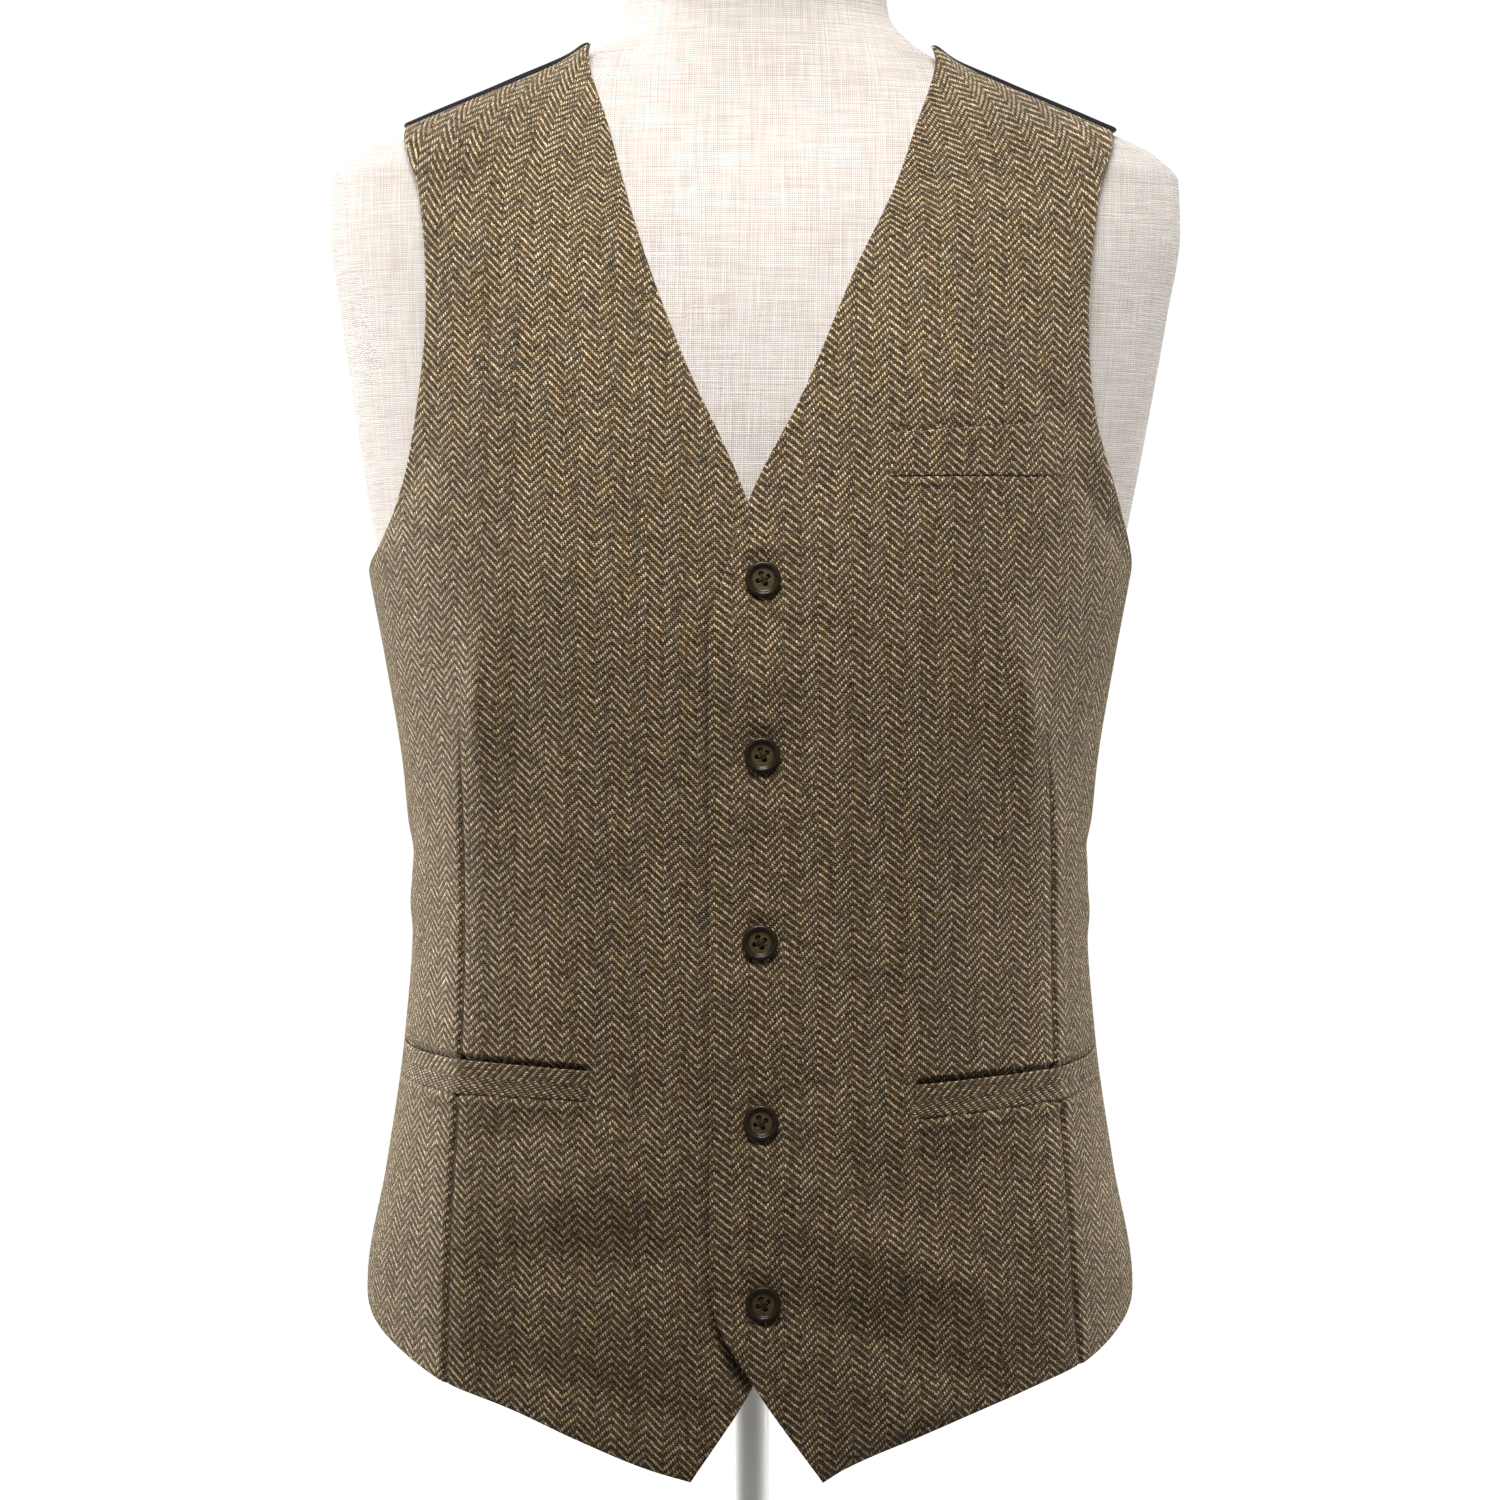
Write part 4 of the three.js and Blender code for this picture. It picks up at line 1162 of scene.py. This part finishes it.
# Soft creases of the back: side, points by distance from the centre back and height, width, height
backCreases = [
    ("left", [(8, 470), (60, 452), (150, 446)], 10, -2.4),
    ("left", [(6, 432), (70, 424), (160, 430)], 9, 2.0),
    ("left", [(10, 398), (66, 388), (140, 384)], 11, -1.9),
    ("left", [(150, 610), (118, 660), (96, 716)], 12, 1.9),
    ("left", [(20, 700), (60, 690), (120, 700)], 12, -1.2),
    ("left", [(60, 250), (66, 300), (58, 360)], 13, 2.2),
    ("left", [(120, 250), (118, 300), (126, 350)], 12, -2.0),
    ("left", [(14, 560), (50, 540), (110, 536)], 12, -1.2),
    ("right", [(6, 462), (72, 456), (140, 440)], 10, -2.2),
    ("right", [(10, 424), (58, 420), (150, 414)], 10, 2.2),
    ("right", [(12, 384), (80, 380), (150, 390)], 10, -1.7),
    ("right", [(146, 620), (120, 668), (104, 730)], 11, 1.7),
    ("right", [(24, 716), (70, 700), (118, 706)], 13, -1.2),
    ("right", [(48, 252), (56, 300), (50, 350)], 12, -1.9),
    ("right", [(102, 250), (98, 306), (108, 356)], 13, 2.2),
    ("right", [(20, 590), (66, 566), (120, 560)], 12, -1.4),
]


def makeBack(side):
    tip, neck = front["armhole"][side][-1], front["edge"][side][-1]
    gap = front["seamGap"]
    armhole = [(front["sideSeamShare"] * halfGirth(front["underarm"]) + gap / 2, front["underarm"])]
    armhole += [(halfGirth(z) - across, z) for across, z in back["armhole"][side]]
    armhole.append((tip[0] + back["shoulderGap"], tip[1]))
    row = rowPlaces()
    neckRow = allRows - back["neckRows"]
    centreZ = mix(back["hem"], back["neck"], row / neckRow)
    around = np.clip((row - neckRow) / back["neckRows"], 0, 1)
    neckZ = mix(back["neck"], neck[0], np.sin(around * math.pi / 2) ** back["neckRound"])
    start = halfGirth(back["neck"]) - gap / 2
    innerZ = np.where(row <= neckRow, centreZ, neckZ)
    innerGirth = np.where(row <= neckRow, halfGirth(centreZ) - gap / 2,
                          mix(start, neck[1] + back["shoulderGap"], around))
    outerGirth, outerZ = outerEdge(row, armhole, gap / 2)
    width = np.hypot(innerGirth - outerGirth, innerZ - outerZ)
    parts = [edgeSteps[:, None] + 0 * row]
    parts.append(np.linspace(edgeSteps[-1] + 0 * row, width - edgeSteps[-1], back["columns"])[1:-1])
    parts.append(width - edgeSteps[::-1, None])
    place = np.concatenate(parts).T  # from the centre back outwards
    share = place / width[:, None]
    girth = mix(innerGirth[:, None], outerGirth[:, None], share)
    z = mix(innerZ[:, None], outerZ[:, None], share)
    rounding = edgeRounding(back, place, width, row)
    fromCentre = halfGirth(z) - girth
    lift = standOff(side, girth, z) + creaseRelief(side, fromCentre, z, backCreases)
    fold = bell(fromCentre - back["seamFoldWidth"], back["seamFoldWidth"])
    lift = lift + back["seamFold"] * fold * (1 - smoothStep(*back["seamFoldFade"], z))
    lift = lift + back["neckStand"] * atNeck(side, girth, z, back["neckWidth"], back["neckDepth"])
    sign = 1 if side == "left" else -1
    cut = np.stack([sign * fromCentre, z, 0 * z], -1)
    return clothSheet(f"back_{side}_cloth", sign, girth, z, lift, back["thick"], rounding, cut,
                      satinMaterial, [f"back_{side}"])


backs = {side: makeBack(side) for side in ("left", "right")}
print("back made")


button = {
    "radius": 8.3,
    "sunk": 0.5,  # into the cloth
    "turn": -0.37,
    "segments": 96,
    # Share of the radius and height, up the outside, over the rim and down into the dish
    "outline": [(0, 0), (0.3, 0), (0.62, 0), (0.72, 0.1), (0.82, 0.35), (0.9, 0.65), (0.955, 1.0),
                (0.99, 1.45), (1, 1.9), (0.995, 2.25), (0.975, 2.65), (0.94, 3.0), (0.9, 3.2), (0.86, 3.3),
                (0.82, 3.27), (0.78, 3.12), (0.74, 2.85), (0.7, 2.5), (0.66, 2.22), (0.61, 2.06),
                (0.56, 1.98)],
    "dish": 0.52,  # share of the radius within which the dish is flat
    "dishHeight": 1.96,
    "dishRings": 34,
    "innerRing": 0.12,
    "hole": 1.05,
    "holeSoft": (0.12, 0.16),
    "holeSpacing": 3.6,
    "holeDepth": 2.2,
    "holesWithin": 4.4,
    "holesAbove": 1.9,
    "grainShift": (37.0, 11.0),  # each button shows another part of the horn
}


def buttonProfile():
    radius, level = button["radius"], button["dishHeight"]
    outline = [(share * radius, height) for share, height in button["outline"]]
    rings = np.linspace(button["dish"] * radius, button["innerRing"], button["dishRings"])
    return [*outline, *((ring, level) for ring in rings), (0, level)]


def makeButton(number, at, height):
    lift = plainLift("left", np.array(at, float), np.array(height, float)) + front["thick"] - button["sunk"]
    facing = Vector(outward(at, height))
    place = Vector(onFigure(at, height)) + facing * float(lift)
    turn = Vector((0, 0, 1)).rotation_difference(facing).to_matrix()
    points, faces = latheMesh(buttonProfile(), button["segments"])
    fromMiddle = np.hypot(points[:, 0], points[:, 1])
    half = button["holeSpacing"] / 2
    top = (points[:, 2] > button["holesAbove"]) & (fromMiddle < button["holesWithin"])
    inside, outside = button["holeSoft"]
    for x in (-half, half):
        for y in (-half, half):
            off = np.hypot(points[:, 0] - x, points[:, 1] - y)
            sink = 1 - smoothStep(button["hole"] - inside, button["hole"] + outside, off)
            points[:, 2] -= np.where(top, button["holeDepth"] * sink, 0)
    cosine, sine = math.cos(button["turn"]), math.sin(button["turn"])
    spin = np.array([[cosine, -sine, 0], [sine, cosine, 0], [0, 0, 1]])
    frameTurn = np.array(turn)
    cut = np.column_stack([points[:, :2] + np.multiply(button["grainShift"], number), fromMiddle])
    world = (points @ spin.T) @ frameTurn.T + np.array(place)
    addPiece(f"button_{number}_horn", world, faces, cut, hornMaterial, [f"button_{number}"])
    makeThreads(number, spin, frameTurn, np.array(place), half)


def tube(path, radius, sides):
    path = np.asarray(path, float)
    points, faces = [], []
    for i, centre in enumerate(path):
        along = path[min(i + 1, len(path) - 1)] - path[max(i - 1, 0)]
        along = along / np.linalg.norm(along)
        side = np.cross(along, (0.13, 0.21, 0.97))  # a direction that no strand follows
        side = side / np.linalg.norm(side)
        up = np.cross(side, along)
        for s in range(sides):
            angle = 2 * math.pi * s / sides
            points.append(centre + radius * (math.cos(angle) * side + math.sin(angle) * up))
    for i in range(len(path) - 1):
        for s in range(sides):
            t = (s + 1) % sides
            faces.append((i * sides + s, i * sides + t, (i + 1) * sides + t, (i + 1) * sides + s))
    faces.append(tuple(range(sides))[::-1])
    faces.append(tuple(range((len(path) - 1) * sides, len(path) * sides)))
    return points, faces


strand = {
    "radius": 0.216,
    "apart": 0.28,
    "points": 15,
    "level": 1.95,
    "arch": 0.4,
    "dive": 1.5,  # into the hole at each end
    "diveFrom": 0.86,
    "diveLength": 0.14,
    "over": 0.3,  # how far the second pair lies over the first
}
shank = {"bottom": -2.2, "top": 0.4, "rings": 5, "radius": 1.7, "sides": 16}


# Four strands cross between the holes, and a shank of thread holds the button to the cloth
def makeThreads(number, spin, frameTurn, place, half):
    points, faces = [], []

    def addTube(path, radius, sides):
        more, shape = tube(path, radius, sides)
        faces.extend(tuple(i + len(points) for i in face) for face in shape)
        points.extend(more)

    share = np.linspace(-1, 1, strand["points"])
    dive = np.clip(np.abs(share) - strand["diveFrom"], 0, 1) / strand["diveLength"]
    arc = strand["level"] + strand["arch"] * (1 - np.abs(share) ** 4) - strand["dive"] * dive
    for corner, over in (((-half, -half), 0), ((half, -half), strand["over"])):
        for side in (-strand["apart"], strand["apart"]):
            across = np.array([-corner[1], corner[0]]) / math.hypot(*corner) * side
            path = [corner[0] * share + across[0], corner[1] * share + across[1], arc + over]
            addTube(np.column_stack(path), strand["radius"], 10)
    heights = np.linspace(shank["bottom"], shank["top"], shank["rings"])
    addTube([(0, 0, z) for z in heights], shank["radius"], shank["sides"])
    points = np.array(points)
    world = (points @ spin.T) @ frameTurn.T + place
    addPiece(f"button_{number}_thread", world, faces, points, threadMaterial)


for number, (at, height) in enumerate(buttonPlaces, 1):
    makeButton(number, at, height)
print("buttons made")


form = {
    "bottom": 240, "top": 900, "corner": 12, "cornerRings": 12, "rings": 190, "segments": 220,
    "capRing": 0.6,  # size of the ring between a cap's edge and its middle
    "neckMiddle": 2.5,
    # How far the form lies inside the figure, by height
    "ease": [(236, 9), (330, 6), (420, 4.5), (540, 3.5), (640, 2.6), (720, 2.6), (790, 2.4), (830, 2),
             (900, 2)],
}


def makeTorso():
    corner = form["corner"]
    inCorner = corner * (1 - np.cos(np.linspace(0, math.pi / 2, form["cornerRings"])))
    heights = np.concatenate([form["bottom"] + inCorner,
                              np.linspace(form["bottom"] + corner, form["top"] - corner, form["rings"])[1:-1],
                              form["top"] - inCorner[::-1]])
    segments = form["segments"]
    share = np.linspace(-1, 1, segments, endpoint=False)
    z = heights[:, None] + 0 * share
    girth = share * halfGirth(z)
    fromEnd = np.minimum(z - form["bottom"], form["top"] - z)
    bend = np.maximum(0, corner - fromEnd) / corner
    inset = tableReading(form["ease"], z) + corner * (1 - np.sqrt(1 - bend ** 2))
    direction = outward(girth, z)
    flat = direction * [1, 1, 0]
    flat = flat / np.linalg.norm(flat, axis=-1, keepdims=True)
    direction = np.where(bend[..., None] > 0, flat, direction)
    points = (onFigure(girth, z) - direction * inset[..., None]).reshape(-1, 3)
    rings = len(heights)
    cut = np.stack([girth, z, 0 * z], -1).reshape(-1, 3)
    # Each end closes in one smaller ring and a middle point
    capRing = form["capRing"]
    for ring, level in ((0, form["bottom"]), (rings - 1, form["top"])):
        edge = points[ring * segments:(ring + 1) * segments]
        middle = np.array([0 if ring == 0 else form["neckMiddle"], 0, level])
        inner = middle + (edge - middle) * capRing
        inner[:, 2] = level
        radius = np.mean(np.hypot(edge[:, 0] - middle[0], edge[:, 1])) * (-1 if ring == 0 else 1)
        edgeCut = cut[ring * segments:(ring + 1) * segments]
        innerCut = edgeCut * [capRing, 1, 1] + [0, (1 - capRing) * radius, 0]
        points = np.concatenate([points, inner, middle[None]])
        cut = np.concatenate([cut, innerCut, [[0, level + radius, 0]]])
    index = np.arange(rings * segments).reshape(rings, segments)
    faces = gridFaces(np.concatenate([index, index[:, :1]], axis=1)).tolist()
    bottomRing, topRing = rings * segments, rings * segments + segments + 1
    lastRing = (rings - 1) * segments
    for s in range(segments):
        t = (s + 1) % segments
        faces.append((s, bottomRing + s, bottomRing + t, t))
        faces.append((bottomRing + s, bottomRing + segments, bottomRing + t))
        faces.append((lastRing + s, lastRing + t, topRing + t, topRing + s))
        faces.append((topRing + s, topRing + t, topRing + segments))
    addPiece("form_torso_linen", points, faces, cut, linenMaterial, ["form_torso"])


makeTorso()

stand = {
    "segments": 160,
    "crease": 40,  # degrees from which an edge stays sharp
    "profiles": {
        "post": [(0, 10), (7.6, 10), (8.6, 10.4), (9, 11.4), (9, 305), (8.6, 309), (7.6, 310), (0, 310)],
        "base": [(0, 0), (144, 0), (148.6, 0.5), (150, 2), (150, 5.6), (149.4, 7.2), (147.8, 8), (60, 8.2),
                 (27, 8.4), (24, 9.2), (22.6, 11), (22, 14), (22, 23.4), (21.4, 25.3), (19.8, 26), (9.9, 26),
                 (9.5, 25.6), (0, 25.6)],
    },
}

for part, profile in stand["profiles"].items():
    points, faces = latheMesh(profile, stand["segments"])
    addPiece(f"form_{part}_enamel", points, faces, points, enamelMaterial, [f"form_{part}"],
             math.radians(stand["crease"]))
print("dress form made")


studio = {
    "floor": (0.27, 0.27, 0.27, 1),
    "floorRoughness": 0.9,
    "floorRadius": 14,
    "floorSides": 128,
    "floorLevel": -0.0005,
    # Glow seen by the camera: from this distance to that one it rises until the floor is as pale as the wall
    "floorGlow": (0.2, 1.6, 0.5, 0.97),
    "fill": 0.16,  # strength of the surroundings as a light
    "wall": 1.02,  # and as seen by the camera
    "lamps": [  # name, place, aimed at, size, power, spread in degrees
        ("above", (-0.07, -0.65, 1.36), (0.0, -0.1, 0.705), (0.7, 0.4), 3.12, 60),
        ("left side", (-1.9, 0.75, 0.62), (0, 0, 0.5), (0.9, 1.5), 96, 180),
        ("right side", (1.9, 0.75, 0.62), (0, 0, 0.5), (0.9, 1.5), 56, 180),
        ("behind", (0, 2.2, 1.6), (0, 0, 0.5), (1.8, 1.2), 30, 180),
    ],
}


def makeStudio():
    material = bpy.data.materials.new("studio floor")
    material.use_nodes = True
    tree = material.node_tree
    shader = tree.nodes["Principled BSDF"]
    shader.inputs["Base Color"].default_value = studio["floor"]
    shader.inputs["Roughness"].default_value = studio["floorRoughness"]
    shader.inputs["Emission Color"].default_value = (1, 1, 1, 1)
    path = tree.nodes.new("ShaderNodeLightPath")
    away = tree.nodes.new("ShaderNodeVectorMath")
    away.operation = "LENGTH"
    tree.links.new(tree.nodes.new("ShaderNodeTexCoord").outputs["Object"], away.inputs[0])
    glow = rangeNode(tree, away.outputs["Value"], *studio["floorGlow"])
    glow = mathNode(tree, "MULTIPLY", path.outputs["Is Camera Ray"], glow)
    tree.links.new(glow, shader.inputs["Emission Strength"])
    bpy.ops.mesh.primitive_circle_add(vertices=studio["floorSides"], radius=studio["floorRadius"],
                                      fill_type="NGON", location=(0, 0, studio["floorLevel"]))
    floor = bpy.context.object
    floor.name = "studio_floor"
    floor.data.materials.append(material)
    for name, place, target, size, power, spread in studio["lamps"]:
        data = bpy.data.lights.new(name, "AREA")
        data.shape = "RECTANGLE"
        data.size, data.size_y = size
        data.energy = power
        data.spread = math.radians(spread)
        lamp = bpy.data.objects.new(name, data)
        lamp.location = place
        lamp.visible_camera = False
        lamp.visible_glossy = name != "behind"
        lamp.rotation_euler = (Vector(target) - Vector(place)).to_track_quat("-Z", "Y").to_euler()
        bpy.context.scene.collection.objects.link(lamp)
    world = bpy.data.worlds.new("studio")
    world.use_nodes = True
    tree = world.node_tree
    background = tree.nodes["Background"]
    background.inputs["Color"].default_value = (1, 1, 1, 1)
    path = tree.nodes.new("ShaderNodeLightPath")
    seen = studio["wall"] - studio["fill"]
    strength = mathNode(tree, "MULTIPLY_ADD", path.outputs["Is Camera Ray"], seen, studio["fill"])
    tree.links.new(strength, background.inputs["Strength"])
    bpy.context.scene.world = world
    bpy.context.scene.view_settings.view_transform = "Standard"


makeStudio()
